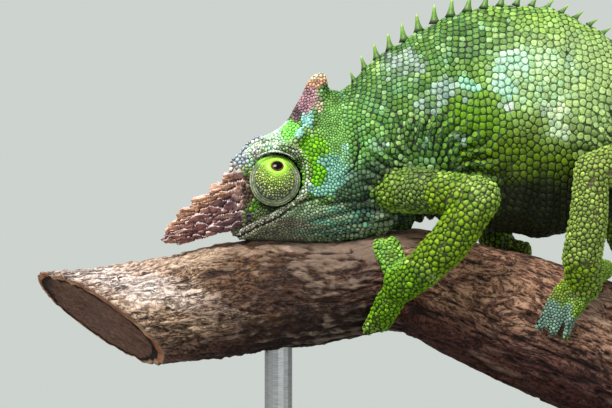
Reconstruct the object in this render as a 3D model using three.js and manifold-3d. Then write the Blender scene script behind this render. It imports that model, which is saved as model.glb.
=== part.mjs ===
// A male two-horned chameleon, life size, creeping head-low along a pruned branch that a plain display stand
// holds up. Millimetres, +Z up. The head points to -X and its left side faces -Y. The origin is the middle of
// the underside of the stand's base, which is what the model rests on.
import * as THREE from "three";
import { mergeVertices } from "three/addons/utils/BufferGeometryUtils.js";
import Module from "manifold-3d";

const wasm = await Module();
wasm.setup();

// Driving dimensions.
const GAP = 0.3; // clear space between two pieces that meet
const HEAD_END = -32; // where the head and jaw meet the neck, along X
const NECK_END = -25; // where the neck meets the trunk
const TRUNK_END = 49; // where the trunk meets the root of the tail
const EYE_RADIUS = 5.2;
const EYE_CENTRE = new THREE.Vector3(-46.5, -5.6, 95.0);
const GAZE_LEFT = new THREE.Vector3(0.04, -0.8, 0.6).normalize();
const GAZE_RIGHT = new THREE.Vector3(-0.45, 0.87, 0.2).normalize();
const CORNEA_RADIUS = 1.35;
const CREST_LEAN = 0.35; // how far each crest spine leans back, radians
const CLAW_LENGTH = 1.9;
const BASE = { length: 146, width: 84, height: 12, corner: 12, bevel: 1.2 };
const ROD = { radius: 3, places: [-46, 30], seat: 6, bite: 5 };

const paint = (color, roughness, metalness = 0) =>
  new THREE.MeshStandardMaterial({ color, roughness, metalness });
const FINISH = {
  skin: paint("#5f9a22", 0.62),
  horn: paint("#a2786a", 0.7),
  eye: paint("#8db52c", 0.4),
  bark: paint("#7a543f", 0.9),
  wood: paint("#3b2c22", 0.5),
  steel: paint("#b4b6b8", 0.35, 1),
};

// ---- Curves, sections and solids ----

// A smooth function through [x, value] pairs, level beyond both ends.
function through(pairs) {
  const slopes = pairs.map((_, i) => {
    const [xa, va] = pairs[Math.max(i - 1, 0)];
    const [xb, vb] = pairs[Math.min(i + 1, pairs.length - 1)];
    return (vb - va) / (xb - xa);
  });
  return (x) => {
    let i = 0;
    while (i < pairs.length - 2 && x > pairs[i + 1][0]) i += 1;
    const [x0, v0] = pairs[i];
    const [x1, v1] = pairs[i + 1];
    const w = x1 - x0;
    const t = THREE.MathUtils.clamp((x - x0) / w, 0, 1);
    const s = t * t * (3 - 2 * t);
    const lead = t * (1 - t) * (1 - t) * w * slopes[i];
    const trail = t * t * (t - 1) * w * slopes[i + 1];
    return v0 + (v1 - v0) * s + lead + trail;
  };
}

// A solid from any closed geometry, turned outwards if its faces point in.
function solidOf(geometry) {
  const bare = geometry.clone();
  bare.deleteAttribute("normal");
  bare.deleteAttribute("uv");
  const merged = mergeVertices(bare, 1e-4);
  const triVerts = new Uint32Array(merged.index.array);
  const make = () =>
    new wasm.Manifold(
      new wasm.Mesh({ numProp: 3, vertProperties: merged.attributes.position.array, triVerts }),
    );
  const made = make();
  if (made.volume() > 0) return made;
  for (let i = 0; i < triVerts.length; i += 3)
    [triVerts[i + 1], triVerts[i + 2]] = [triVerts[i + 2], triVerts[i + 1]];
  return make();
}

// A closed solid over rings of points, each ring with the same number, ending in two fans.
function overRings(rings) {
  const sides = rings[0].length;
  const points = rings.flat();
  const index = [];
  rings.slice(1).forEach((_, r) => {
    for (let s = 0; s < sides; s += 1) {
      const a = r * sides + s;
      const b = r * sides + ((s + 1) % sides);
      index.push(a, b, a + sides, b, b + sides, a + sides);
    }
  });
  [0, rings.length - 1].forEach((r) => {
    const middle = rings[r].reduce((sum, p) => sum.add(p), new THREE.Vector3()).divideScalar(sides);
    points.push(middle);
    for (let s = 0; s < sides; s += 1) {
      const a = r * sides + s;
      const b = r * sides + ((s + 1) % sides);
      index.push(...(r === 0 ? [b, a, points.length - 1] : [a, b, points.length - 1]));
    }
  });
  const geometry = new THREE.BufferGeometry().setFromPoints(points).setIndex(index);
  return solidOf(geometry);
}

// A tube along control points [x, y, z, radius across, radius deep]. hint is the direction of its depth.
// Its ends are half balls where round says so, and flat elsewhere.
function tube(stops, { hint, steps = 6, sides = 10, grow = 0, round = [true, true], from = 0, to = 1 }) {
  const path = new THREE.CatmullRomCurve3(stops.map(([x, y, z]) => new THREE.Vector3(x, y, z)));
  const knots = stops.map((_, i) => i / (stops.length - 1));
  const across = through(stops.map((s, i) => [knots[i], s[3] + grow]));
  const deep = through(stops.map((s, i) => [knots[i], (s[4] ?? s[3]) + grow]));
  let normal = hint.clone();
  const frameAt = (t) => {
    const along = path.getTangent(t);
    normal = normal.clone().addScaledVector(along, -normal.dot(along)).normalize();
    return { at: path.getPoint(t), along, normal, side: along.clone().cross(normal) };
  };
  const ringAt = (frame, t, shrink, push) =>
    Array.from({ length: sides }, (_, s) => {
      const a = (2 * Math.PI * s) / sides;
      return frame.at
        .clone()
        .addScaledVector(frame.along, push)
        .addScaledVector(frame.side, Math.cos(a) * across(t) * shrink)
        .addScaledVector(frame.normal, Math.sin(a) * deep(t) * shrink);
    });
  const dome = 0.65; // radians from the pole to the one ring that rounds an end off
  const rings = [];
  for (let i = 0; i <= steps; i += 1) {
    const t = from + ((to - from) * i) / steps;
    const frame = frameAt(t);
    const reach = Math.min(across(t), deep(t));
    if (i === 0 && round[0]) rings.push(ringAt(frame, t, Math.sin(dome), -reach * Math.cos(dome)));
    rings.push(ringAt(frame, t, 1, 0));
    if (i === steps && round[1]) rings.push(ringAt(frame, t, Math.sin(dome), reach * Math.cos(dome)));
  }
  return overRings(rings);
}

// A solid with a flat outline in the XZ plane, thick along Y and centred on y.
function slab(outline, thickness, y = 0) {
  const shape = new THREE.Shape(outline.map(([x, z]) => new THREE.Vector2(x, z)));
  const geometry = new THREE.ExtrudeGeometry(shape, { depth: thickness, bevelEnabled: false });
  geometry.rotateX(Math.PI / 2).translate(0, y + thickness / 2, 0);
  return solidOf(geometry);
}

// The space on the far side of a plane, as a large box that starts at point and runs along outwards.
function beyond(point, outwards, size = 90) {
  const box = new THREE.BoxGeometry(size, size, size).translate(0, 0, size / 2);
  box.applyQuaternion(new THREE.Quaternion().setFromUnitVectors(new THREE.Vector3(0, 0, 1), outwards));
  return solidOf(box.translate(point.x, point.y, point.z));
}

const joined = (solids) => solids.reduce((all, s) => all.add(s));
const mirrored = (v) => new THREE.Vector3(v.x, -v.y, v.z);
const largest = (solid) =>
  solid.decompose().reduce((best, s) => (s.volume() > best.volume() ? s : best));

const model = new THREE.Group();
function place(name, solid, material) {
  const { vertProperties, triVerts } = largest(solid).getMesh();
  const geometry = new THREE.BufferGeometry()
    .setAttribute("position", new THREE.BufferAttribute(new Float32Array(vertProperties), 3))
    .setIndex(new THREE.BufferAttribute(new Uint32Array(triVerts), 1));
  geometry.computeVertexNormals();
  const mesh = new THREE.Mesh(geometry, material);
  mesh.name = name;
  model.add(mesh);
}

// ---- Perch: a pruned branch, thicker and lower towards +X, with an obliquely cut end at -X ----

const PERCH = {
  start: -104,
  end: 63,
  height: through([[-104, 63.8], [-84, 64.9], [-69, 67.0], [-59, 68.6], [-50, 69.7], [-39, 70.4],
    [-30, 71.2], [-23, 72.6], [-16, 72.6], [-5, 69.0], [8, 64.3], [27, 56.8], [63, 41.2]]),
  radius: through([[-104, 11.4], [-84, 11.3], [-69, 11.3], [-59, 12.2], [-50, 11.9], [-39, 11.0],
    [-30, 10.0], [-23, 10.2], [-16, 11.3], [-5, 12.7], [8, 14.2], [27, 14.9], [63, 15.4]]),
  sides: 16,
  step: 11,
};
const PRUNING = {
  at: new THREE.Vector3(-83.2, 0, 64.3),
  facing: new THREE.Vector3(-0.57, -0.45, -0.69).normalize(),
};

// A point at height h over the bark: angle 0 faces -Y, 90 degrees is the top and 180 faces +Y.
function onPerch(x, degrees, h) {
  const rise = (PERCH.height(x + 0.5) - PERCH.height(x - 0.5)) / 1;
  const up = new THREE.Vector3(-rise, 0, 1).normalize();
  const angle = THREE.MathUtils.degToRad(degrees);
  return new THREE.Vector3(x, 0, PERCH.height(x))
    .addScaledVector(up, (PERCH.radius(x) + h) * Math.sin(angle))
    .add(new THREE.Vector3(0, -(PERCH.radius(x) + h) * Math.cos(angle), 0));
}

function perch(grow) {
  const count = Math.round((PERCH.end - PERCH.start) / PERCH.step);
  const rings = Array.from({ length: count + 1 }, (_, i) => {
    const x = PERCH.start + ((PERCH.end - PERCH.start) * i) / count;
    return Array.from({ length: PERCH.sides }, (_, s) => onPerch(x, (360 * s) / PERCH.sides, grow));
  });
  return overRings(rings);
}

// ---- Body: one form from snout to tail root, upright sections along X ----

const BODY = {
  back: through([[-56.2, 85.2], [-55.4, 90.0], [-54.5, 96.0], [-53.2, 101.2], [-51.2, 104.0], [-48.5, 105.2],
    [-45.6, 106.4], [-43, 108.0], [-40, 110.6], [-37.6, 113.6], [-35, 115.0], [-32.2, 115.0],
    [-30.2, 116.6], [-27.5, 119.4], [-24, 122.3], [-19.6, 125.2],
    [-13, 129.3], [-6.5, 131.8], [0, 133.1], [5.4, 133.6], [11, 133.1], [16.3, 131.6], [21.7, 129.1],
    [32.6, 121.9], [39, 116.8], [46, 111.0], [52, 107.4]]),
  belly: through([[-56.2, 83.4], [-55.2, 82.4], [-53.6, 82.0], [-50, 81.6], [-44, 81.5], [-36, 81.5], [-28, 82.2],
    [-19.6, 84.1], [-13, 86.8], [-6.5, 85.8], [0, 84.1], [5.4, 83.2], [11, 82.9], [16.3, 83.4],
    [21.7, 84.8], [32.6, 89.6], [39, 93.0], [46, 96.4], [52, 98.2]]),
  halfWidth: through([[-56.2, 1.6], [-55.2, 3.4], [-53, 4.9], [-49.5, 6.4], [-46, 7.5], [-42, 8.4], [-38, 8.4],
    [-34, 8.0], [-30, 8.2], [-24, 9.6], [-15, 11.2], [-4, 11.8], [8, 12.0], [20, 11.2], [32, 9.4],
    [42, 7.6], [52, 5.0]]),
  ridge: through([[-55, 0.85], [-44, 0.8], [-36, 0.95], [-26, 1.2], [-10, 1.35], [20, 1.35], [40, 1.15],
    [52, 1.0]]),
  widest: 0.42, // the height of the widest point, as a share of the depth
  sides: 18,
};

function bodyRing(x, grow) {
  const top = BODY.back(x) + grow;
  const low = BODY.belly(x) - grow;
  const middle = low + (top - low) * BODY.widest;
  return Array.from({ length: BODY.sides }, (_, s) => {
    const a = (2 * Math.PI * s) / BODY.sides;
    const power = Math.cos(a) > 0 ? BODY.ridge(x) : 0.95;
    const out = Math.sign(Math.sin(a)) * Math.abs(Math.sin(a)) ** power;
    const rise = Math.cos(a) > 0 ? (top - middle) * Math.cos(a) : (middle - low) * Math.cos(a);
    return new THREE.Vector3(x, (BODY.halfWidth(x) + grow) * out, middle + rise);
  });
}

const bodyPart = (xs, grow = 0) => overRings(xs.map((x) => bodyRing(x, grow)));
const spread = (from, to, count) =>
  Array.from({ length: count + 1 }, (_, i) => from + ((to - from) * i) / count);

// Crest: cone spines along the back, longest over the shoulders and least behind.
const CREST = {
  first: -29.5,
  last: 48,
  height: through([[-30, 1.6], [-26, 2.8], [-14, 3.5], [-2, 3.3], [8, 2.4], [25, 1.9], [48, 1.1]]),
  spacing: through([[-30, 2.4], [-22, 3.0], [-8, 3.6], [10, 3.2], [48, 2.2]]),
};

function crestSpines() {
  const spines = [];
  for (let x = CREST.first; x < CREST.last; x += CREST.spacing(x)) {
    const rise = BODY.back(x + 0.5) - BODY.back(x - 0.5);
    const height = CREST.height(x);
    const cone = new THREE.ConeGeometry(height * 0.3, height + 1, 5).translate(0, height / 2 - 0.5, 0);
    cone.rotateX(Math.PI / 2);
    cone.rotateY(-Math.atan(rise) + CREST_LEAN);
    spines.push(solidOf(cone.translate(x, 0, BODY.back(x) - 0.1)));
  }
  return spines;
}

// ---- Head: skull and jaw parted along the mouth, casque, two horns, two eyes ----

// The mouth, from the tip of the snout up and back to its corner behind the eye.
const MOUTH = [[-60, 82.2], [-54.4, 83.0], [-50.0, 85.2], [-46.0, 87.1], [-43.4, 88.9], [-41.2, 90.4],
  [-38, 91.2], [-31, 92.2]];
const belowMouth = (drop) =>
  slab([...MOUTH.map(([x, z]) => [x, z - drop]), [-31, 60], [-60, 60]], 60);

// The casque: a narrow peak behind the eyes, drawn as level sections from the brow to its tip.
const CASQUE = {
  levels: [104, 106, 108, 110, 112, 114, 116, 117.4, 118.3],
  front: through([[104, -50], [105.9, -46.9], [108, -44.5], [110.9, -42.7], [113.7, -41.2], [116.1, -40.1],
    [118.3, -38.6]]),
  rear: through([[104, -40], [108, -37.6], [112, -35.8], [115, -35.0], [117, -35.3], [118.3, -36.5]]),
  halfWidth: through([[104, 5.2], [107, 4.6], [110, 3.5], [114, 2.2], [117, 1.5], [118.3, 0.9]]),
  sides: 12,
};

function casque() {
  const rings = CASQUE.levels.map((z) => {
    const front = CASQUE.front(z);
    const rear = CASQUE.rear(z);
    return Array.from({ length: CASQUE.sides }, (_, s) => {
      const a = (2 * Math.PI * s) / CASQUE.sides;
      const x = (front + rear) / 2 - (Math.cos(a) * (rear - front)) / 2;
      return new THREE.Vector3(x, Math.sin(a) * CASQUE.halfWidth(z), z);
    });
  });
  return overRings(rings);
}

// A horn: an upright plate of thick scales whose upper edge is stepped, from between eye and lip to its tip.
const HORN = {
  upper: [[-51.4, 104.6], [-56.0, 99.6], [-59.0, 94.9], [-62.6, 92.2], [-66.2, 90.3], [-69.0, 87.0],
    [-71.3, 83.4]],
  lower: [[-50.0, 86.0], [-54.4, 84.8], [-57.8, 83.7], [-61.0, 82.5], [-64.6, 81.3], [-67.8, 80.8],
    [-70.8, 81.2]],
  stepHeight: 0.5, // how far each step of the upper edge stands out of its line
  thickness: through([[0, 3.4], [0.5, 2.9], [1, 1.5]]),
  rootY: -4.0,
  splay: 0.1, // how far the tip stands outwards for each millimetre forwards
  sides: 8,
};

function horn() {
  const along = (line, axis) => through(line.map((p, i) => [i / (line.length - 1), p[axis]]));
  const edges = [HORN.upper, HORN.lower].map((line) => [along(line, 0), along(line, 1)]);
  const steps = HORN.upper.length - 1;
  const stations = Array.from({ length: steps }, (_, i) => [[i + 0.1, -1], [i + 0.9, 1]]).flat();
  const rings = stations.map(([stage, side]) => {
    const t = stage / steps;
    const [top, low] = edges.map(([x, z]) => new THREE.Vector3(x(t), 0, z(t)));
    const across = top.clone().sub(low);
    top.addScaledVector(across.clone().normalize(), side * HORN.stepHeight);
    const middle = top.clone().add(low).multiplyScalar(0.5);
    middle.y = HORN.rootY + HORN.splay * (middle.x - HORN.upper[0][0]);
    return Array.from({ length: HORN.sides }, (_, s) => {
      const a = (2 * Math.PI * s) / HORN.sides;
      const ring = middle.clone().addScaledVector(top.clone().sub(low), Math.cos(a) / 2);
      ring.y = middle.y + (Math.sign(Math.sin(a)) * Math.abs(Math.sin(a)) ** 0.6 * HORN.thickness(t)) / 2;
      return ring;
    });
  });
  return overRings(rings);
}

const flipY = (solid) => solid.mirror([0, 1, 0]);
const ball = (centre, radius, around = 12) =>
  solidOf(new THREE.SphereGeometry(radius, around, around / 2).translate(centre.x, centre.y, centre.z));

// An eye: a ball turret, with the bare cornea standing a little out of it where it looks.
function eye(centre, gaze) {
  const cornea = centre.clone().addScaledVector(gaze, EYE_RADIUS - CORNEA_RADIUS * 0.6);
  return ball(centre, EYE_RADIUS).add(ball(cornea, CORNEA_RADIUS, 8));
}

// ---- Tail: bends down behind the hips and curls forwards under itself in a flat spiral ----

const COIL = { x: 88, z: 69, outer: 17.5, inner: 4.2, start: 80, turn: -640 };
const TAIL = {
  root: [[44, 0, 103.6, 5.6, 6.4], [52, 0, 101.6, 4.7, 5.2], [63, 0.4, 96.6, 4.1, 4.4],
    [75, 1.2, 90.2, 3.7, 3.9]],
  coilStops: 16,
  coilRadius: through([[0, 3.5], [0.4, 2.7], [0.75, 1.7], [1, 0.9]]),
  cuts: [0, 0.16, 0.36, 0.55, 0.77, 1], // where the lengths part, as shares of the whole
  names: ["tail_root", "tail_bend", "tail_outer_coil", "tail_inner_coil", "tail_tip"],
};

function tailStops() {
  const coil = Array.from({ length: TAIL.coilStops }, (_, i) => {
    const share = i / (TAIL.coilStops - 1);
    const angle = THREE.MathUtils.degToRad(COIL.start + COIL.turn * share);
    const reach = COIL.outer + (COIL.inner - COIL.outer) * share ** 0.8;
    const radius = TAIL.coilRadius(share);
    return [COIL.x + reach * Math.cos(angle), 2, COIL.z + reach * Math.sin(angle), radius, radius];
  });
  return [...TAIL.root, ...coil];
}

// ---- Limbs: an upper and a lower length, then a palm with its toes in two bundles that grip the perch ----

const at = (v, ...radii) => [v.x, v.y, v.z, ...radii];
const LIMBS = [
  {
    names: ["upper_arm_left", "forearm_left", "hand_left"],
    upper: [[-22, -5, 93.2, 5.2], [-14.4, -14, 92.6, 4.7], [-4.4, -22, 91.4, 4.3]],
    lower: [[-4.4, -22, 91.4, 4.3], [-10.2, -20.4, 82.6, 4.4], [-15.6, -17.6, 76.6, 4.0]],
    palm: { x: -20.0, angle: 3 },
    bundles: [
      { toes: 2, width: 2.8, way: [[-22.4, -12], [-24.4, -28], [-26.6, -47]] },
      { toes: 3, width: 1.4, way: [[-21.0, 18], [-22.6, 34], [-23.9, 50]] },
    ],
  },
  {
    names: ["upper_arm_right", "forearm_right", "hand_right"],
    upper: [[-22, 5, 93.2, 5.2], [-12, 16, 97, 4.7], [-3, 22.5, 99.5, 4.3]],
    lower: [[-3, 22.5, 99.5, 4.3], [0.5, 20.5, 91, 4.4], [3.2, 16.5, 82, 3.9]],
    palm: { x: 3.4, angle: 150 },
    bundles: [
      { toes: 2, width: 2.8, way: [[4.8, 170], [6.0, 188], [7.0, 206]] },
      { toes: 3, width: 1.7, way: [[2.8, 132], [1.8, 115], [1.0, 98]] },
    ],
  },
  {
    names: ["thigh_left", "shank_left", "foot_left"],
    upper: [[41, -3, 99.6, 5.6], [30.5, -13.4, 99, 5.8], [18.4, -21, 97, 3.5]],
    lower: [[18.4, -21, 97, 3.5], [18.2, -20.4, 88, 4.0], [17.2, -18.0, 79.0, 4.2]],
    palm: { x: 13.8, angle: 42 },
    bundles: [
      { toes: 3, width: 2.5, way: [[12.4, 30], [11.2, 15], [10.5, 1]] },
      { toes: 2, width: 2.2, way: [[16.6, 66], [17.8, 86], [18.8, 104]] },
    ],
  },
  {
    names: ["thigh_right", "shank_right", "foot_right"],
    upper: [[41, 3, 99.6, 5.6], [35, 15, 93.4, 5.8], [31.5, 24, 85.5, 3.5]],
    lower: [[31.5, 24, 85.5, 3.5], [35.5, 22, 78, 4.0], [39.5, 18.2, 70.5, 4.2]],
    palm: { x: 41, angle: 140 },
    bundles: [
      { toes: 3, width: 2.5, way: [[39.4, 155], [37.6, 171], [36.2, 185]] },
      { toes: 2, width: 2.2, way: [[42, 116], [43, 97], [43.8, 80]] },
    ],
  },
];
const TOE = { heights: [2.9, 2.3, 1.6], halfWidth: [1.9, 1.8, 1.3], halfDepth: [2.3, 2.0, 1.3], closed: 0.6 };
const PALM = { height: 3.9, radius: 4.5 };

// One toe bundle: toes side by side along the perch, from the palm round the bark, each with a claw.
function bundle(palm, { toes, width, way }) {
  const solids = [];
  for (let i = 0; i < toes; i += 1) {
    const aside = (i - (toes - 1) / 2) * width;
    const spreadAt = (k) => aside * (TOE.closed + (1 - TOE.closed) * (k / 2));
    const stops = way.map(([x, angle], k) =>
      at(onPerch(x + spreadAt(k), angle, TOE.heights[k]), TOE.halfWidth[k], TOE.halfDepth[k]));
    const root = at(palm, 2.4, 2.4);
    solids.push(tube([root, ...stops], { hint: new THREE.Vector3(0, 0, 1), steps: 3, sides: 6 }));
    const tip = new THREE.Vector3(...stops[2]);
    const ahead = tip.clone().sub(new THREE.Vector3(...stops[1])).normalize();
    const claw = new THREE.ConeGeometry(0.55, CLAW_LENGTH + 1, 4).translate(0, (CLAW_LENGTH + 1) / 2, 0);
    claw.applyQuaternion(new THREE.Quaternion().setFromUnitVectors(new THREE.Vector3(0, 1, 0), ahead));
    tip.addScaledVector(ahead, TOE.halfDepth[2] - 1);
    solids.push(solidOf(claw.translate(tip.x, tip.y, tip.z)));
  }
  return solids;
}

function limbLengths({ upper, lower, palm: { x, angle }, bundles }) {
  const hint = new THREE.Vector3(0, 0, 1);
  const forearmHint = new THREE.Vector3(1, 0, 0);
  const palm = onPerch(x, angle, PALM.height);
  const wrist = lower[lower.length - 1];
  const handStops = [wrist, at(palm, PALM.radius, PALM.radius - 0.6)];
  return {
    upper: (grow) => tube(upper, { hint, grow }),
    lower: (grow) => tube(lower, { hint: forearmHint, grow }),
    hand: joined([
      tube(handStops, { hint: forearmHint, steps: 2, sides: 10 }),
      ...bundles.flatMap((one) => bundle(palm, one)),
    ]),
  };
}

// ---- Stand: a flat base and two short rods up into the perch ----

function standBase() {
  const { length, width, height, corner, bevel } = BASE;
  const [x, y] = [length / 2 - bevel, width / 2 - bevel];
  const r = corner - bevel;
  const shape = new THREE.Shape();
  shape.absarc(x - r, y - r, r, 0, Math.PI / 2);
  shape.absarc(-x + r, y - r, r, Math.PI / 2, Math.PI);
  shape.absarc(-x + r, -y + r, r, Math.PI, 1.5 * Math.PI);
  shape.absarc(x - r, -y + r, r, 1.5 * Math.PI, 2 * Math.PI);
  const geometry = new THREE.ExtrudeGeometry(shape, {
    depth: height - 2 * bevel,
    bevelThickness: bevel,
    bevelSize: bevel,
    bevelSegments: 1,
    curveSegments: 4,
  });
  return solidOf(geometry.translate(0, 0, bevel));
}

function standRod(x, grow) {
  const foot = BASE.height - ROD.seat - grow;
  const top = onPerch(x, -90, 0).z + ROD.bite + grow;
  const rod = new THREE.CylinderGeometry(ROD.radius + grow, ROD.radius + grow, top - foot, 16);
  return solidOf(rod.rotateX(Math.PI / 2).translate(x, 0, (top + foot) / 2));
}

// ---- Assembly ----

const snout = [-56.2, -55.8, -55.2, -54.3, -53, -51.2, -49, -46.6, -44, -41.6, -39.2, -36.8, -34.4,
  HEAD_END - GAP / 2];
const neck = [HEAD_END + GAP / 2, -28.6, NECK_END - GAP / 2];
const trunk = [NECK_END + GAP / 2, ...spread(-21, 45, 14), TRUNK_END];
const wholeBody = bodyPart([...snout, ...neck, ...trunk], GAP);
const grownPerch = perch(GAP);

const eyeRight = mirrored(EYE_CENTRE);
const sockets = ball(EYE_CENTRE, EYE_RADIUS + GAP).add(ball(eyeRight, EYE_RADIUS + GAP));
const head = bodyPart(snout).subtract(sockets).subtract(grownPerch);
place("skull", head.subtract(belowMouth(-GAP / 2)), FINISH.skin);
place("jaw", head.intersect(belowMouth(GAP / 2)), FINISH.skin);
place("casque", casque().subtract(wholeBody).subtract(sockets), FINISH.horn);
const hornLeft = horn().subtract(wholeBody).subtract(sockets);
place("horn_left", hornLeft, FINISH.horn);
place("horn_right", flipY(hornLeft), FINISH.horn);
place("eye_left", eye(EYE_CENTRE, GAZE_LEFT), FINISH.eye);
place("eye_right", eye(eyeRight, GAZE_RIGHT), FINISH.eye);

const onNeck = beyond(new THREE.Vector3(NECK_END, 0, 100), new THREE.Vector3(-1, 0, 0), 160);
const spines = joined(crestSpines());
place("neck", bodyPart(neck).add(spines.intersect(onNeck)).subtract(grownPerch), FINISH.skin);
place("trunk", bodyPart(trunk).add(spines.subtract(onNeck)).subtract(grownPerch), FINISH.skin);

const stops = tailStops();
const tailPart = (from, to, round) =>
  tube(stops, { hint: new THREE.Vector3(0, 1, 0), steps: 9, sides: 8, from, to, round });
TAIL.names.forEach((name, i) => {
  const half = GAP / 2 / 190; // half a gap, as a share of the tail's length
  const last = i === TAIL.names.length - 1;
  const length = tailPart(TAIL.cuts[i] + (i ? half : 0), TAIL.cuts[i + 1] - (last ? 0 : half), [false, last]);
  place(name, i ? length : length.subtract(wholeBody), FINISH.skin);
});

LIMBS.forEach((limb) => {
  const lengths = limbLengths(limb);
  const [upperName, lowerName, handName] = limb.names;
  place(upperName, lengths.upper(0).subtract(wholeBody), FINISH.skin);
  const around = grownPerch.add(wholeBody);
  place(lowerName, lengths.lower(0).subtract(lengths.upper(GAP)).subtract(around), FINISH.skin);
  place(handName, lengths.hand.subtract(lengths.lower(GAP)).subtract(around), FINISH.skin);
});

const rodHoles = joined(ROD.places.map((x) => standRod(x, GAP)));
const pruned = perch(0).subtract(beyond(PRUNING.at, PRUNING.facing));
place("perch", pruned.subtract(rodHoles), FINISH.bark);
place("stand_base", standBase().subtract(rodHoles), FINISH.wood);
["stand_rod_front", "stand_rod_rear"].forEach((name, i) =>
  place(name, standRod(ROD.places[i], 0), FINISH.steel));

export default model;
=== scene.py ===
# Looks of the two-horned chameleon on its branch and display stand. Blender works in metres; the tables below
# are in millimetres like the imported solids, with +Z up, the head towards -X and its left side facing -Y.
import math
import bpy
import numpy as np
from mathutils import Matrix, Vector, noise
from mathutils.bvhtree import BVHTree
from mathutils.kdtree import KDTree


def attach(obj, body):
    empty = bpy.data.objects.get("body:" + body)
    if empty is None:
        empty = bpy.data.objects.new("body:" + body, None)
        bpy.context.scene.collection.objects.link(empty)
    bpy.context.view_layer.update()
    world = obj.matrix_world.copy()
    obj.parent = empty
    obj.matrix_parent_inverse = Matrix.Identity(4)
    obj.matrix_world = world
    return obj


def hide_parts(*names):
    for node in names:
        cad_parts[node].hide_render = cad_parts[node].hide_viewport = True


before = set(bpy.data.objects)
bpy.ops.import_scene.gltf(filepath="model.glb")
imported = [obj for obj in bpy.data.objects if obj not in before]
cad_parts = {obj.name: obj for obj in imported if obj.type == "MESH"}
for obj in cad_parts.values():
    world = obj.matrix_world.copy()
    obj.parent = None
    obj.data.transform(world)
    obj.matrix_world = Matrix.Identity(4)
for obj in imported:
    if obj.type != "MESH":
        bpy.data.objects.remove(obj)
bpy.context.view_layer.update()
chance = np.random.default_rng(7)


# ---- Stand base ----
# A bevelled board of dark stained hardwood, sawn, sanded and oiled, with two blind holes for the rods.
# Its grain runs along X, with open pores.
MM = 0.001  # one millimetre in metres


def srgb(red, green, blue):
    """The linear colour of a screen colour with parts from 0 to 255."""
    parts = [c / 255 / 12.92 if c <= 10 else ((c / 255 + 0.055) / 1.055) ** 2.4 for c in (red, green, blue)]
    return (*parts, 1.0)


def add(tree, kind, inputs=(), **settings):
    """A node, its settings made first and its sockets then linked or set. Colours are screen colours."""
    node = tree.nodes.new(kind if "Node" in kind else "ShaderNode" + kind)
    for name, value in settings.items():
        setattr(node, name, value)
    for name, value in dict(inputs).items():
        socket = node.inputs[name]
        if isinstance(value, bpy.types.NodeSocket):
            tree.links.new(value, socket)
        else:
            socket.default_value = srgb(*value) if socket.type == "RGBA" else value
    return node


def group_of(name, family, inputs, outputs):
    """A node group with named sockets, what its nodes read from, and what they lead to."""
    tree = bpy.data.node_groups.new(name, family + "NodeTree")
    for way, sockets in (("INPUT", inputs), ("OUTPUT", outputs)):
        for socket, kind in sockets.items():
            tree.interface.new_socket(socket, in_out=way, socket_type="NodeSocket" + kind)
    return tree, tree.nodes.new("NodeGroupInput").outputs, tree.nodes.new("NodeGroupOutput").inputs


def finish_of(name, roughness=0.5, **constants):
    """A new material, its tree of nodes, and the socket with each point's place on the piece."""
    material = bpy.data.materials.new(name)
    material.use_nodes = True
    tree = material.node_tree
    shader = tree.nodes["Principled BSDF"]
    shader.inputs["Roughness"].default_value = roughness
    for socket, value in constants.items():
        shader.inputs[socket.replace("_", " ")].default_value = value
    return material, tree, add(tree, "TexCoord").outputs["Object"]


def paint(tree, **inputs):
    """Leads what varies over the surface to the finish's own sockets."""
    for socket, value in inputs.items():
        tree.links.new(value, tree.nodes["Principled BSDF"].inputs[socket.replace("_", " ")])


def bump_of(tree, height, strength, distance):
    """Fine relief from a height between 0 and 1, with its full depth in metres."""
    relief = add(tree, "Bump", {"Height": height, "Strength": strength, "Distance": distance})
    paint(tree, Normal=relief.outputs["Normal"])


def ramp(tree, factor, stops):
    """An eased ramp through stops of a place and a level or a screen colour."""
    node = add(tree, "ValToRGB", {"Fac": factor})
    node.color_ramp.interpolation = "EASE"
    points = node.color_ramp.elements
    while len(points) < len(stops):
        points.new(0.5)
    for point, (place, value) in zip(points, stops):
        point.position = place
        point.color = srgb(*value) if isinstance(value, tuple) else (value, value, value, 1)
    return node.outputs["Color"]


def blend_of(tree, factor, first, second, kind="MIX"):
    return add(tree, "Mix", {0: factor, 6: first, 7: second}, data_type="RGBA", blend_type=kind).outputs[2]


def sum_of(tree, kind, *values):
    return add(tree, "Math", dict(enumerate(values)), operation=kind).outputs[0]


def attribute(tree, name, output="Fac"):
    return add(tree, "Attribute", attribute_name=name).outputs[output]


# The grain that the finishes draw on: soft noise with its own number of waves to the metre along each axis.
grain_nodes, inlet, outlet = group_of("grain", "Shader",
                                      {"Place": "Vector", "Turn": "Vector", "Waves": "Vector",
                                       "Detail": "Float", "Rough": "Float", "Bend": "Float"},
                                      {"Level": "Float", "Color": "Color"})
drawn_out = add(grain_nodes, "Mapping", {"Vector": inlet["Place"], "Rotation": inlet["Turn"],
                                         "Scale": inlet["Waves"]})
clouds = add(grain_nodes, "TexNoise", {"Vector": drawn_out.outputs["Vector"], "Scale": 1.0,
                                       "Detail": inlet["Detail"], "Roughness": inlet["Rough"],
                                       "Distortion": inlet["Bend"]})
grain_nodes.links.new(clouds.outputs["Fac"], outlet["Level"])
grain_nodes.links.new(clouds.outputs["Color"], outlet["Color"])


def grain(tree, place, waves, detail=2.0, rough=0.5, output="Level", **more):
    """The grain at a place, with the same number of waves along all three axes or one for each."""
    waves = waves if isinstance(waves, tuple) else (waves, waves, waves)
    sockets = {"Place": place, "Waves": waves, "Detail": detail, "Rough": rough, **more}
    return add(tree, "Group", sockets, node_tree=grain_nodes).outputs[output]


def dress(node_name, material):
    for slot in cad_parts[node_name].material_slots:
        slot.material = material


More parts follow.
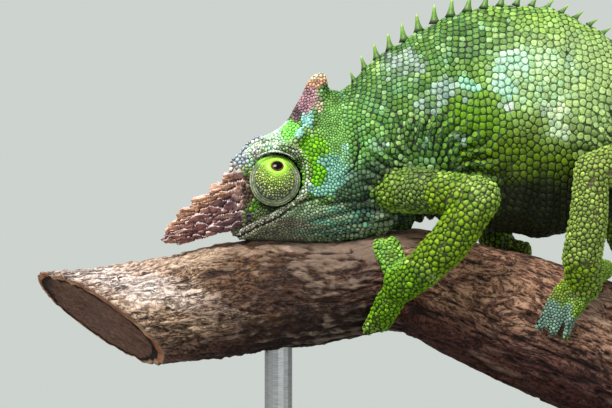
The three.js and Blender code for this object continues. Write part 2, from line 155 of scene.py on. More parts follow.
stained_wood, tree, place = finish_of("stained_wood", 0.45, Coat_Weight=0.25, Coat_Roughness=0.3)
growth = grain(tree, place, (14, 160, 160), 6.0, 0.6)
pores = ramp(tree, grain(tree, place, (60, 1500, 1500)), [(0.34, 1.0), (0.44, 0.0)])
tone = ramp(tree, growth, [(0.3, (44, 30, 22)), (0.52, (74, 51, 36)), (0.7, (98, 70, 49))])
paint(tree, Base_Color=blend_of(tree, pores, tone, (28, 19, 14)),
      Roughness=ramp(tree, growth, [(0.3, 0.38), (0.7, 0.55)]))
bump_of(tree, sum_of(tree, "SUBTRACT", growth, pores), 0.35, 0.0002)
dress("stand_base", stained_wood)


# ---- Stand rods ----
# Two 6 mm rods of brushed steel, turned and polished along their length. Each is glued 6 mm into the base and
# pressed 5 mm up into the branch.
brushed_steel, tree, place = finish_of("brushed_steel", 0.32, Metallic=1.0)
lines = grain(tree, place, (400, 400, 9000), 3.0)
paint(tree, Base_Color=ramp(tree, lines, [(0.3, (168, 170, 172)), (0.7, (206, 207, 208))]),
      Roughness=ramp(tree, lines, [(0.3, 0.26), (0.7, 0.42)]))
bump_of(tree, lines, 0.15, 0.00005)
for rod in ("stand_rod_front", "stand_rod_rear"):
    dress(rod, brushed_steel)


# ---- Perch ----
# A pruned branch of a small hardwood with thin flaking bark, cut off obliquely at the head's end. The bark is
# pale near the cut, partly with painted highlight, reddish in the middle, and long dry fissures run to the
# thick end.
# Painted shade darkens its underside.
def through(pairs):
    """A smooth function through [place, value] pairs, level beyond both ends."""
    places = np.array([p for p, _ in pairs], float)
    values = np.array([v for _, v in pairs], float)
    before = np.maximum(np.arange(len(pairs)) - 1, 0)
    after = np.minimum(np.arange(len(pairs)) + 1, len(pairs) - 1)
    slopes = (values[after] - values[before]) / (places[after] - places[before])

    def value(x):
        x = np.asarray(x, float)
        i = np.clip(np.searchsorted(places, x, side="left") - 1, 0, len(places) - 2)
        w = places[i + 1] - places[i]
        t = np.clip((x - places[i]) / w, 0, 1)
        s = t * t * (3 - 2 * t)
        lead = t * (1 - t) ** 2 * w * slopes[i]
        trail = t * t * (t - 1) * w * slopes[i + 1]
        return values[i] + (values[i + 1] - values[i]) * s + lead + trail

    return value


def facing_out(points, faces):
    """The faces of a closed form, turned over if they face inwards."""
    fans = np.array([[f[0], f[i], f[i + 1]] for f in faces for i in range(1, len(f) - 1)])
    a, b, c = points[fans[:, 0]], points[fans[:, 1]], points[fans[:, 2]]
    return [f[::-1] for f in faces] if (a * np.cross(b, c)).sum() < 0 else faces


def object_of(name, data):
    """A new object in the scene."""
    thing = bpy.data.objects.new(name, data)
    bpy.context.scene.collection.objects.link(thing)
    return thing


def mesh_of(name, points, faces, material):
    """A smooth piece from points in millimetres and like faces in an array, or a closed form's list."""
    mesh = bpy.data.meshes.new(name)
    points = np.asarray(points, float)
    if isinstance(faces, np.ndarray):
        sides = faces.shape[1]
        mesh.vertices.add(len(points))
        mesh.vertices.foreach_set("co", (points * MM).ravel())
        mesh.loops.add(faces.size)
        mesh.loops.foreach_set("vertex_index", faces.ravel().astype(np.int32))
        mesh.polygons.add(len(faces))
        mesh.polygons.foreach_set("loop_start", np.arange(0, faces.size, sides, dtype=np.int32))
        mesh.update(calc_edges=True)
    else:
        mesh.from_pydata((points * MM).tolist(), [], facing_out(points, faces))
    mesh.polygons.foreach_set("use_smooth", np.full(len(mesh.polygons), True))
    mesh.materials.append(material)
    return object_of(name, mesh)


def store(mesh, **values):
    """Keeps a number or a vector for each point of the mesh under each name."""
    for name, rows in values.items():
        rows = np.asarray(rows, float)
        kind, key = ("FLOAT_VECTOR", "vector") if rows.ndim == 2 else ("FLOAT", "value")
        mesh.attributes.new(name, kind, "POINT").data.foreach_set(key, rows.ravel())


def ring_faces(rings, sides, first=0):
    """Quads between rings of points that follow one another, wound outwards for rings that turn left."""
    r, s = np.meshgrid(np.arange(rings - 1), np.arange(sides), indexing="ij")
    a, b = first + r * sides + s, first + r * sides + (s + 1) % sides
    return np.stack([a, b, b + sides, a + sides], -1).reshape(-1, 4)


def tube_faces(rings, sides, first=0):
    """The same with a flat face over each end."""
    ends = [list(range(first, first + sides))[::-1],
            list(range(first + (rings - 1) * sides, first + rings * sides))]
    return ring_faces(rings, sides, first).tolist() + ends


def noise_at(points, scale=(1, 1, 1), seed=0.0, octaves=2):
    """Smooth noise from -1 to 1 at each point, with its features stretched by scale (mm)."""
    shrunk = np.asarray(points) / np.asarray(scale, float) + seed
    return np.array([noise.fractal(p, 1.0, 2.0, octaves) for p in shrunk.tolist()])


perch_height = through([
    [-104, 63.8], [-84, 64.9], [-69, 67.0], [-59, 68.6], [-50, 69.7], [-39, 70.4], [-30, 71.2], [-23, 72.6],
    [-16, 72.6], [-5, 69.0], [8, 64.3], [27, 56.8], [63, 41.2]])
perch_radius = through([
    [-104, 11.4], [-84, 11.3], [-69, 11.3], [-59, 12.2], [-50, 11.9], [-39, 11.0], [-30, 10.0], [-23, 10.2],
    [-16, 11.3], [-5, 12.7], [8, 14.2], [27, 14.9], [63, 15.4]])
perch_start, perch_end = -104.0, 63.0
cut_at = np.array([-83.2, 0, 64.3])
cut_facing = np.array([-0.57, -0.45, -0.69]) / np.linalg.norm([0.57, 0.45, 0.69])


def length(vectors):
    return np.linalg.norm(vectors, axis=-1)


def run_along(line):
    """The length of a line of points up to each of them."""
    return np.concatenate([[0], np.cumsum(length(np.diff(line, axis=0)))])


def on_perch(x, degrees, height):
    """A point at a height over the bark: angle 0 faces -Y, 90 degrees is the top and 180 faces +Y."""
    x, angle = np.asarray(x, float), np.radians(np.asarray(degrees, float))
    slope = perch_height(x + 0.5) - perch_height(x - 0.5)
    size = 1 / np.sqrt(1 + slope**2)
    reach = perch_radius(x) + height
    return np.stack([x - slope * size * reach * np.sin(angle), -reach * np.cos(angle) + 0 * x,
                     perch_height(x) + size * reach * np.sin(angle)], -1)


def axis_of(tree, vector, axis):
    return add(tree, "SeparateXYZ", {"Vector": vector}).outputs[axis]


bark_rings, bark_sides = 400, 200
around = np.arange(bark_sides) * 360 / bark_sides
low, high = np.full(bark_sides, perch_start), np.full(bark_sides, -45.0)
for _ in range(30):  # where each line along the bark meets the cut
    middle = (low + high) / 2
    outside = (on_perch(middle, around, 0) - cut_at) @ cut_facing > 0
    low, high = np.where(outside, middle, low), np.where(outside, high, middle)
bark_x = low[None] + (perch_end - low[None]) * np.linspace(0, 1, bark_rings)[:, None]
bark_angle = np.broadcast_to(around, bark_x.shape)
flat = on_perch(bark_x, bark_angle, 0).reshape(-1, 3)


def straightened(points):
    """Places along and across the branch as if it were straight, so that the grain follows its bends."""
    x = np.linspace(perch_start, perch_end, 600)
    run = run_along(np.stack([x, perch_height(x)], 1))
    slope = perch_height(points[:, 0] + 0.5) - perch_height(points[:, 0] - 0.5)
    rise = points[:, 2] - perch_height(points[:, 0])
    centre_x = points[:, 0] + rise * slope / (1 + slope**2)
    return np.stack([np.interp(centre_x, x, run), points[:, 1], rise / np.sqrt(1 + slope**2)], 1)


# Long fibres and fissures wander along the branch; small plates and pits break them up near the pruned end.
grown = straightened(flat)
drift = [2.6 * noise_at(grown, (26, 14, 14), seed, 1) for seed in (30.0, 50.0)]
wandering = grown + np.stack([0 * drift[0], *drift], 1)
fibres = noise_at(wandering, (12, 1.3, 1.3), 3.1, 3)
fissures = np.abs(noise_at(wandering, (26, 3.4, 3.4), 9.7, 2))
plates = noise_at(wandering, (2.4, 1.4, 1.4), 21.0, 3)
swell = noise_at(grown, (20, 11, 11), 5.0, 1)
rough_end = np.clip((-14 - flat[:, 0]) / 22, 0.25, 1)
crease = np.clip(0.075 - fissures, 0, 1) / 0.075
lift = 0.5 * swell + (0.42 - 0.16 * rough_end) * fibres - (0.95 - 0.4 * rough_end) * crease \
    + 0.5 * rough_end * plates - 0.1
KNOTS = [
    (-62, 62, 3.4, 0.9), (-38, 28, 3.0, 0.7), (20, 38, 4.2, 0.9), (40, 12, 3.4, 0.6), (-74, 20, 2.4, 0.6)]
for x, angle, wide, tall in KNOTS:
    away = length((flat - on_perch(x, angle, 0)) / [1.5, 1, 1]) / wide
    lift += tall * np.exp(-away**2 * 1.6) - 1.1 * tall * np.exp(-(away / 0.38) ** 2)
# The bark swells along the crown under the animal's chin and again under its chest.
crown = np.exp(-((bark_angle.ravel() - 90) / 38) ** 2)
for swell_x, swell_long, swell_high in ((-46, 16, 0.66), (-31, 7, 0.62), (-17, 8, 1.0)):
    lift += crown * swell_high * np.exp(-((flat[:, 0] - swell_x) / swell_long) ** 2)
lift = np.clip(lift, -1.5, 1.25)
bark_points = on_perch(bark_x.ravel(), bark_angle.ravel(), lift).reshape(bark_rings, bark_sides, 3)

# The wood's flat face reaches the far edge; on the near side a groove parts it from a curled lip of bark.
rim = bark_points[0]
off = rim - rim.mean(0)
NEAR_WAY = [0.2, -0.94, 0.28]
near_side = np.clip(0.62 + 0.75 * (off @ NEAR_WAY) / length(off), 0.2, 1.35)[:, None]
# Each ring of the face: how far in, how deep, and its zone, from bark (0) over lip and groove to wood (1).
FACE = ((0.05, -0.1, 0.5), (0.15, -0.12, 0.55), (0.165, 0.5, 0.74), (0.28, 0.55, 0.74), (0.3, 0.3, 1),
        (0.36, 0.3, 1), (0.42, 0.3, 1), (0.55, 0.32, 1), (0.68, 0.32, 1), (0.8, 0.34, 1), (0.9, 0.4, 1),
        (0.97, 0.5, 1))
GROOVE_END, LAST_RING = 0.3, 0.97
face_rings = []
for inward, depth, _ in FACE:
    evened = max(0, inward - GROOVE_END) / (LAST_RING - GROOVE_END) * LAST_RING * (1 - near_side)
    ring = rim - off * (inward * near_side + evened)
    dips = noise_at(ring, (5, 2.2, 2.2), 40.0, 2) * 0.2 * min(1, inward * 8)
    face_rings.append(ring - cut_facing * (depth * (near_side[:, 0] if inward < GROOVE_END else 1)
                                           + dips)[:, None])
last = bark_points[-1]
end_middle = last.mean(0)
end_rings = [end_middle + (last - end_middle) * inward + [0.35 * math.sin(9 * inward), 0, 0]
             for inward in (0.96, 0.8, 0.6, 0.4, 0.2, 0.04)]
points = np.concatenate([*face_rings[::-1], *bark_points, *end_rings])
faces = tube_faces(len(points) // bark_sides, bark_sides)

bark, tree, place = finish_of("bark", 0.8, Specular_IOR_Level=0.35)
x_place = axis_of(tree, place, "X")
straight = attribute(tree, "straight", "Vector")
height_of = axis_of(tree, straight, "Z")
bends = grain(tree, straight, (45, 110, 110), output="Color")
flowing = add(tree, "VectorMath", {0: bends, 1: (0.0, 0.009, 0.009), 2: straight},
              operation="MULTIPLY_ADD").outputs[0]
fine_grain = grain(tree, flowing, (170, 1300, 1300), 5.0, 0.7)
crumbs = grain(tree, flowing, (900, 1700, 1700), 4.0, 0.75)
stains = grain(tree, flowing, (95, 230, 230), 5.0, 0.7)
patches = grain(tree, flowing, (38, 90, 90), 2.0, 0.6)
lines = sum_of(tree, "ABSOLUTE", sum_of(tree, "SUBTRACT", grain(tree, flowing, (60, 480, 480), 3.0, 0.55),
                                        0.5))
wander = sum_of(tree, "MULTIPLY_ADD", sum_of(tree, "SUBTRACT", patches, 0.5), 0.03, x_place)
from_cut = sum_of(tree, "MULTIPLY_ADD", wander, 5.0, 0.6)  # about 0.1 at the cut end and 0.9 at the other
# Pale towards the cut end, partly the bark's own colour and partly painted highlight.
tan = ramp(tree, from_cut, [
    (0.08, (218, 190, 168)), (0.2, (228, 204, 186)), (0.28, (206, 180, 150)), (0.33, (120, 90, 62)),
    (0.38, (86, 60, 42)), (0.47, (90, 62, 46)), (0.54, (192, 154, 124)), (0.63, (212, 170, 142)),
    (0.69, (190, 152, 128)), (0.8, (168, 132, 112))])
# Painted highlight: a strip along the front of the pruned end is made nearly white. Painted shade: the
# underside is made dark.
strip = sum_of(tree, "MULTIPLY_ADD", x_place, 0.39, sum_of(tree, "ADD", height_of, 0.0231))
strip = sum_of(tree, "ABSOLUTE", sum_of(tree, "MULTIPLY_ADD", sum_of(tree, "SUBTRACT", stains, 0.5), 0.012,
                                        strip))
highlight_strip = sum_of(tree, "MULTIPLY", ramp(tree, sum_of(tree, "MULTIPLY", strip, 100.0),
                                       [(0.1, 1.0), (0.48, 0.0)]),
                ramp(tree, from_cut, [(0.22, 1.0), (0.36, 0.0)]))
base = blend_of(tree, highlight_strip, tan, (252, 242, 236))
# Painted shade: darker low round the branch and towards its thick end.
above_under = sum_of(tree, "MULTIPLY_ADD", height_of, 50.0, sum_of(tree, "MULTIPLY_ADD", x_place, -2.6, 0.4))
underside_shade = ramp(tree, above_under, [(0.0, 1.0), (0.2, 0.8), (0.36, 0.15), (0.46, 0.0)])


def stain_or_shade(strength, color, tint, kind="MULTIPLY", amount=1.0):
    """The colour with a tint multiplied or screened over it where the strength is high."""
    return blend_of(tree, strength, color, blend_of(tree, amount, color, tint, kind))


base = stain_or_shade(underside_shade, base, (134, 104, 112))
mixed = sum_of(tree, "ADD", sum_of(tree, "MULTIPLY", fine_grain, 0.4), sum_of(tree, "MULTIPLY", crumbs, 0.6))
broken = ramp(tree, mixed, [(0.4, (50, 34, 28)), (0.47, (126, 102, 86)), (0.52, (222, 208, 196)),
                            (0.58, (255, 252, 248))])
weathered = blend_of(tree, ramp(tree, highlight_strip, [(0.0, 0.95), (1.0, 0.8)]), base, broken, "MULTIPLY")
dark_bits = sum_of(tree, "MULTIPLY", ramp(tree, stains, [(0.34, 0.85), (0.46, 0.0)]),
                   ramp(tree, highlight_strip, [(0.0, 1.0), (1.0, 0.35)]))
stained = stain_or_shade(dark_bits, weathered, (120, 88, 84))
pale_bits = ramp(tree, stains, [(0.6, 0.0), (0.72, 0.6)])
stained = stain_or_shade(pale_bits, stained, (188, 158, 140), "SCREEN", 0.8)
red = sum_of(tree, "MULTIPLY", ramp(tree, patches, [(0.55, 0.0), (0.66, 0.6)]),
             ramp(tree, from_cut, [(0.3, 0.0), (0.38, 1.0)]))
reddened = stain_or_shade(red, stained, (196, 128, 112))
line_mask = sum_of(tree, "MULTIPLY", ramp(tree, lines, [(0.0, 0.95), (0.026, 0.0)]),
                   ramp(tree, patches, [(0.36, 0.3), (0.55, 1.0)]))
lined = blend_of(tree, line_mask, reddened, (46, 30, 26))
# Painted shade where the bark sinks and a painted highlight where it swells.
hollow = attribute(tree, "hollow")
sunk = blend_of(tree, ramp(tree, hollow, [(0.42, 0.0), (0.85, 0.9)]), lined, (38, 24, 20))
raised = blend_of(tree, ramp(tree, hollow, [(0.08, 0.3), (0.32, 0.0)]), sunk, (196, 170, 148), "SCREEN")
# The cut face: a rusty lip of bark, a dark groove, then grey-brown wood that darkens towards its lowest edge.
wood_grain = grain(tree, place, (500, 1400, 1400), 5.0, 0.7, Turn=(0, math.radians(35), 0))
wood_face = ramp(tree, wood_grain, [(0.3, (84, 54, 42)), (0.5, (116, 80, 64)), (0.68, (150, 108, 88))])
far_end = ramp(tree, sum_of(tree, "MULTIPLY_ADD", x_place, 20.0, 2.3), [(0.34, 0.9), (0.42, 0.0)])
wood_face = blend_of(tree, far_end, wood_face, (34, 26, 24))
lip_tone = blend_of(tree, ramp(tree, stains, [(0.4, 0.0), (0.6, 1.0)]), (168, 90, 52), (216, 170, 132))
zone = attribute(tree, "zone")
color = raised
for start, full, tone in ((0.3, 0.5, lip_tone), (0.6, 0.7, (34, 22, 18)), (0.8, 0.92, wood_face)):
    color = blend_of(tree, ramp(tree, zone, [(start, 0.0), (full, 1.0)]), color, tone)
paint(tree, Base_Color=color, Roughness=ramp(tree, crumbs, [(0.3, 0.9), (0.7, 0.66)]))
bump_of(tree, sum_of(tree, "SUBTRACT", mixed, sum_of(tree, "MULTIPLY", line_mask, 0.35)), 1.0, 0.0009)

perch = mesh_of("perch_bark", points, faces, bark)
start = len(face_rings) * bark_sides
hollow_of, zone_of = np.zeros(len(points)), np.zeros(len(points))
hollow_of[start:start + len(flat)] = np.clip(0.32 - lift * 0.62, 0, 1)
zone_of[:start] = np.repeat([zone for _, _, zone in FACE[::-1]], bark_sides)
zone_of[start + len(flat):] = 1.0
store(perch.data, hollow=hollow_of, zone=zone_of, straight=straightened(points) * MM)
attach(perch, "root")
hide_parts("perch")


# ---- Skin ----
# One closed hide from snout to tail tip and out to every toe, dark between the scales. It lies a scale's
# thickness inside the solids, with the eye sockets, mouth, throat furrows and loose folds worked in.
COAT = 0.36  # how far the hide lies inside the solids, millimetres
BACK = through([
    [-56.2, 85.2], [-55.4, 90.0], [-54.5, 96.0], [-53.2, 101.2], [-51.2, 104.0], [-48.5, 105.2],
    [-45.6, 106.4], [-43, 108.0], [-40, 110.6], [-37.6, 113.6], [-35, 115.0], [-32.2, 115.0],
    [-30.2, 116.6], [-27.5, 119.4], [-24, 122.3], [-19.6, 125.2], [-13, 129.3], [-6.5, 131.8], [0, 133.1],
    [5.4, 133.6], [11, 133.1], [16.3, 131.6], [21.7, 129.1], [32.6, 121.9], [39, 116.8], [46, 111.0],
    [52, 107.4]])
BELLY = through([
    [-56.2, 83.4], [-55.2, 82.4], [-53.6, 82.0], [-50, 81.6], [-44, 81.5], [-36, 81.5], [-28, 82.2],
    [-19.6, 84.1], [-13, 86.8], [-6.5, 85.8], [0, 84.1], [5.4, 83.2], [11, 82.9], [16.3, 83.4],
    [21.7, 84.8], [32.6, 89.6], [39, 93.0], [46, 96.4], [52, 98.2]])
HALF_WIDTH = through([
    [-56.2, 1.6], [-55.2, 3.4], [-53, 4.9], [-49.5, 6.4], [-46, 7.5], [-42, 8.4], [-38, 8.4], [-34, 8.0],
    [-30, 8.2], [-24, 9.6], [-15, 11.2], [-4, 11.8], [8, 12.0], [20, 11.2], [32, 9.4], [42, 7.6],
    [52, 5.0]])
RIDGE = through([
    [-55, 0.85], [-44, 0.8], [-36, 0.95], [-26, 1.2], [-10, 1.35], [20, 1.35], [40, 1.15], [52, 1.0]])
WIDEST = 0.42


def body_at(x, turn, grow=0.0):
    """A point of the body's section at x, turned from the back (0) over the left side (-Y) to the belly."""
    x, turn = np.asarray(x, float), np.asarray(turn, float)
    top, low = BACK(x) + grow, BELLY(x) - grow
    middle = low + (top - low) * WIDEST
    s, c = np.sin(turn), np.cos(turn)
    power = np.where(c > 0, RIDGE(x), 0.95)
    out = np.sign(s) * np.abs(s) ** power
    return np.stack([x + 0 * out, -(HALF_WIDTH(x) + grow) * out,
                     middle + np.where(c > 0, top - middle, middle - low) * c], -1)


def unit(vectors):
    return vectors / np.maximum(np.linalg.norm(vectors, axis=-1, keepdims=True), 1e-9)


def tree_of(points):
    """A search tree for the nearest of the points."""
    tree = KDTree(len(points))
    for i, p in enumerate(points.tolist()):
        tree.insert(p, i)
    tree.balance()
    return tree


def nearest(tree, points):
    """The number of the tree's point that lies nearest to each of the points."""
    return [tree.find(p)[1] for p in points.tolist()]


def on_left(points):
    """The points with those of the right side mirrored to the left."""
    return points * [1, 0, 1] - np.abs(points) * [0, 1, 0]


def curve_at(stops, t):
    """Points of a centripetal Catmull-Rom curve through the stops at shares t of their number."""
    stops = np.asarray(stops, float)
    n = len(stops)
    p = np.clip(np.asarray(t, float), 0, 1) * (n - 1)
    i = np.minimum(p.astype(int), n - 2)
    w = (p - i)[:, None]
    line = np.concatenate([[2 * stops[0] - stops[1]], stops, [2 * stops[-1] - stops[-2]]])
    p0, p1, p2, p3 = line[i], line[i + 1], line[i + 2], line[i + 3]
    d0, d1, d2 = [np.sqrt(length(b - a))[:, None] for a, b in ((p0, p1), (p1, p2), (p2, p3))]
    t1 = ((p1 - p0) / d0 - (p2 - p0) / (d0 + d1) + (p2 - p1) / d1) * d1
    t2 = ((p2 - p1) / d1 - (p3 - p1) / (d1 + d2) + (p3 - p2) / d2) * d1
    return p1 + t1 * w + (-3 * p1 + 3 * p2 - 2 * t1 - t2) * w**2 + (2 * p1 - 2 * p2 + t1 + t2) * w**3


def tube_frames(stops, hint, steps):
    """Centre, direction, depth and width axes, and half sizes along a tube [x, y, z, across, deep]."""
    t = np.linspace(0, 1, steps + 1)
    xyz = [s[:3] for s in stops]
    knots = np.linspace(0, 1, len(stops))
    across = through(list(zip(knots, [s[3] for s in stops])))(t)
    deep = through(list(zip(knots, [s[4] if len(s) > 4 else s[3] for s in stops])))(t)
    at = curve_at(xyz, t)
    along = unit(curve_at(xyz, t + 1e-3) - curve_at(xyz, t - 1e-3))
    normal, normals = np.array(hint, float), []
    for direction in along:
        normal = unit(normal - direction * (normal @ direction))
        normals.append(normal)
    normals = np.array(normals)
    return at, along, normals, np.cross(along, normals), across, deep


hide_points, hide_faces, hide_marks = [], [], []  # every form's points, faces and (form, along, round) marks
FORMS = []


def turns_of(number):
    """Even angles all the way round."""
    return np.arange(number) * 2 * math.pi / number


def add_form(name, rings, u, v, along):
    """Adds one closed form of the hide from rings of points, and marks where each point lies on it."""
    rings = np.asarray(rings)
    count, sides = rings.shape[:2]
    first = sum(len(p) for p in hide_points)
    hide_points.append(rings.reshape(-1, 3))
    hide_faces.extend(tube_faces(count, sides, first))
    FORMS.append(name)
    marks = [np.full((count, sides, 1), len(FORMS) - 1), np.broadcast_to(u, (count, sides))[..., None],
             np.broadcast_to(v, (count, sides))[..., None], np.broadcast_to(along, rings.shape)]
    hide_marks.append(np.concatenate(marks, 2).reshape(-1, 6))


def add_tube(name, stops, hint, steps=40, sides=40, grow=-COAT, domes=(True, True)):
    """A round-ended tube as a form of the hide."""
    at, along, normal, side, across, deep = tube_frames(stops, hint, steps)
    across, deep = across + grow, deep + grow
    a = turns_of(sides)
    rings, u = [], []
    run = run_along(at)

    def ring(i, shrink, push):
        outline = np.cos(a)[:, None] * side[i] * across[i] + np.sin(a)[:, None] * normal[i] * deep[i]
        rings.append(at[i] + along[i] * push + outline * shrink)
        u.append(run[i] + push)

    reach = np.minimum(across, deep)
    for i in range(steps + 1):
        if i == 0 and domes[0]:
            for b in np.linspace(0.12, 1.4, 7):
                ring(0, math.sin(b), -reach[0] * math.cos(b))
        ring(i, 1, 0)
        if i == steps and domes[1]:
            for b in np.linspace(1.4, 0.12, 7):
                ring(steps, math.sin(b), reach[steps] * math.cos(b))
    rings = np.array(rings)
    lead = unit(np.gradient(rings.mean(1), axis=0))
    add_form(name, rings, np.array(u)[:, None], a[None] / (2 * math.pi), lead[:, None])


body_x = np.concatenate([[-56.2, -56.0, -55.7, -55.3, -54.8], np.linspace(-54.2, 52, 134)])
turns = turns_of(110)
body_rings = body_at(body_x[:, None], turns[None], -COAT)
add_form("body", body_rings[:, ::-1], body_x[:, None], turns[None, ::-1] / (2 * math.pi),
         np.array([1.0, 0, 0]))

casque_z = np.linspace(104, 118.0, 30)
casque_front = through([
    [104, -50], [105.9, -46.9], [108, -44.5], [110.9, -42.7], [113.7, -41.2], [116.1, -40.1],
    [118.3, -38.6]])
casque_rear = through([[104, -40], [108, -37.6], [112, -35.8], [115, -35.0], [117, -35.3], [118.3, -36.5]])
casque_half = through([[104, 5.2], [107, 4.6], [110, 3.5], [114, 2.2], [117, 1.5], [118.3, 0.9]])
a = turns_of(48)
middle_x = (casque_front(casque_z) + casque_rear(casque_z)) / 2
half_x = (casque_rear(casque_z) - casque_front(casque_z)) / 2 - COAT
half_y = np.maximum(casque_half(casque_z) - COAT, 0.4)
casque_rings = np.stack([middle_x[:, None] - np.cos(a) * half_x[:, None], -np.sin(a) * half_y[:, None],
                         casque_z[:, None] + 0 * a], -1)
add_form("casque", casque_rings, casque_z[:, None], a[None] / (2 * math.pi), np.array([0.0, 0, 1]))

# Ridges of the head: a brow over each eye, the rim behind it, a crest from the brow to the casque's tip, and
# the edge of the snout.
RIDGES = {"brow": [[-51.6, -4.6, 99.6, 0.7], [-49.8, -6.6, 101.4, 1.0], [-46.2, -8.3, 102.0, 1.15],
                   [-42.6, -8.6, 101.3, 1.1], [-40.4, -8.2, 99.4, 0.85], [-39.6, -8.1, 96.4, 0.7],
                   [-39.9, -8.1, 93.2, 0.6], [-41.4, -7.9, 90.8, 0.5]],
          "crest": [[-43.0, -7.4, 102.6, 0.9], [-40.6, -6.4, 104.6, 1.15], [-38.6, -5.0, 107.6, 1.2],
                    [-37.4, -3.6, 111.0, 1.15], [-36.4, -2.3, 114.6, 1.1], [-36.8, -1.3, 117.4, 1.1]],
          "snout_edge": [[-50.2, -5.0, 102.6, 0.8], [-52.4, -4.6, 101.0, 0.95], [-54.2, -3.9, 98.6, 0.9],
                         [-55.4, -3.2, 95.6, 0.8]],
          "upper_lip": [[-55.4, -2.2, 83.5, 0.6], [-53.6, -4.4, 84.1, 0.7], [-50.6, -6.2, 85.6, 0.75],
                        [-46.6, -7.7, 87.5, 0.75], [-43.4, -8.4, 89.6, 0.7], [-40.8, -8.6, 91.3, 0.5]],
          "lower_lip": [[-55.0, -2.4, 82.7, 0.5], [-53.0, -4.6, 82.9, 0.6], [-50.0, -6.1, 84.4, 0.6],
                        [-46.0, -7.6, 86.3, 0.6], [-42.8, -8.3, 88.4, 0.55]]}
for name, stops in RIDGES.items():
    for side in (1, -1):
        add_tube(name, [[x, y * side, z, r] for x, y, z, r in stops], [0, 0, 1], 40, 16, 0)

TAIL = [
    [44, 0, 103.6, 5.6, 6.4], [52, 0, 101.6, 4.7, 5.2], [63, 0.4, 96.6, 4.1, 4.4],
    [75, 1.2, 90.2, 3.7, 3.9]]
COIL_X, COIL_Y, COIL_Z, COIL_OUTER, COIL_INNER = 88, 2, 69, 17.5, 4.2
coil_half = through([[0, 3.5], [0.4, 2.7], [0.75, 1.7], [1, 0.9]])
for part in np.arange(16) / 15:
    turn, reach = math.radians(80 - 640 * part), COIL_OUTER + (COIL_INNER - COIL_OUTER) * part**0.8
    half = float(coil_half(part))
    TAIL.append([COIL_X + reach * math.cos(turn), COIL_Y, COIL_Z + reach * math.sin(turn), half, half])
add_tube("tail", TAIL, [0, 1, 0], 260, 40, -COAT * 0.8, (False, True))

LIMBS = [
    ("arm_left", [[-22, -5, 93.2, 5.2], [-14.4, -14, 92.6, 4.7], [-4.4, -22, 91.4, 4.3]],
     [[-4.4, -22, 91.4, 4.3], [-10.2, -20.4, 82.6, 4.4], [-15.6, -17.6, 76.6, 4.0]], (-20.0, 3),
     [(2, 3.1, [[-22.4, -12], [-24.8, -28], [-26.9, -46]]),
      (3, 1.3, [[-21.0, 18], [-21.8, 34], [-22.2, 49]])]),
    ("arm_right", [[-22, 5, 93.2, 5.2], [-12, 16, 97, 4.7], [-3, 22.5, 99.5, 4.3]],
     [[-3, 22.5, 99.5, 4.3], [0.5, 20.5, 91, 4.4], [3.2, 16.5, 82, 3.9]], (3.4, 150),
     [(2, 2.8, [[4.8, 170], [6.0, 188], [7.0, 206]]), (3, 1.7, [[2.8, 132], [1.8, 115], [1.0, 98]])]),
    ("leg_left", [[41, -3, 99.6, 5.6], [30.5, -13.4, 99, 5.8], [18.4, -21, 97, 3.5]],
     [[18.4, -21, 97, 3.5], [18.2, -20.4, 88, 4.0], [17.2, -18.0, 79.0, 4.2]], (13.8, 42),
     [(3, 2.65, [[12.6, 32], [11.6, 16], [11.3, 0]]), (2, 2.2, [[16.6, 66], [17.8, 86], [18.8, 104]])]),
    ("leg_right", [[41, 3, 99.6, 5.6], [35, 15, 93.4, 5.8], [31.5, 24, 85.5, 3.5]],
     [[31.5, 24, 85.5, 3.5], [35.5, 22, 78, 4.0], [39.5, 18.2, 70.5, 4.2]], (41, 140),
     [(3, 2.5, [[39.4, 155], [37.6, 171], [36.2, 185]]), (2, 2.2, [[42, 116], [43, 97], [43.8, 80]])]),
]
# Each toe's height over the bark, depth and width at its root, middle and tip.
TOE_HEIGHT, TOE_DEEP = (2.9, 2.3, 1.6), (2.3, 2.0, 1.4)
TOE_ACROSS = {("arm", 2): (2.1, 2.15, 1.75), ("arm", 3): (1.9, 1.8, 1.4),
              ("leg", 2): (2.1, 2.15, 1.75), ("leg", 3): (1.8, 0.96, 0.8)}
PALM_HEIGHT = 3.9
CLAW_LENGTH = {"arm": 1.7, "leg": 1.0}
claw_roots = []  # where each claw grows from its toe, which way it points, and its length
for name, upper, lower, (palm_x, palm_angle), bundles in LIMBS:
    kind = name[:3]
    add_tube(name + "_upper", upper, [0, 0, 1])
    add_tube(name + "_lower", lower, [1, 0, 0])
    palm = on_perch(palm_x, palm_angle, PALM_HEIGHT).tolist()
    add_tube(name + "_palm", [lower[-1], [*palm, 4.5, 3.9]], [1, 0, 0], 24)
    for toes, wide, way in bundles:
        for i in range(toes):
            aside = (i - (toes - 1) / 2) * wide
            stops = [[*on_perch(x + aside * (0.7 + 0.15 * k), angle, TOE_HEIGHT[k]).tolist(),
                      TOE_ACROSS[kind, toes][k], TOE_DEEP[k]] for k, (x, angle) in enumerate(way)]
            add_tube(name + "_toe", [[*palm, 2.4, 2.4], *stops], [0, 0, 1], 30, 24)
            tip, before = np.array(stops[2][:3]), np.array(stops[1][:3])
            claw_roots.append((tip, unit(tip - before), CLAW_LENGTH[kind]))

marks = np.concatenate(hide_marks)
sources = np.concatenate(hide_points)
source_tree = tree_of(sources)


def mark_at(points):
    """The form, place along it, place round it and lengthwise direction at each point of the hide."""
    return marks[nearest(source_tree, points)]


bulk = mesh_of("hide_bulk", sources, hide_faces, bark)
remesh = bulk.modifiers.new("one_surface", "REMESH")
remesh.mode = "VOXEL"
remesh.voxel_size = 0.53 * MM
remesh.use_smooth_shade = True
soften = bulk.modifiers.new("soften", "SMOOTH")
soften.factor, soften.iterations = 0.5, 5
hide_mesh = bpy.data.meshes.new_from_object(bulk.evaluated_get(bpy.context.evaluated_depsgraph_get()))
bpy.data.objects.remove(bulk)


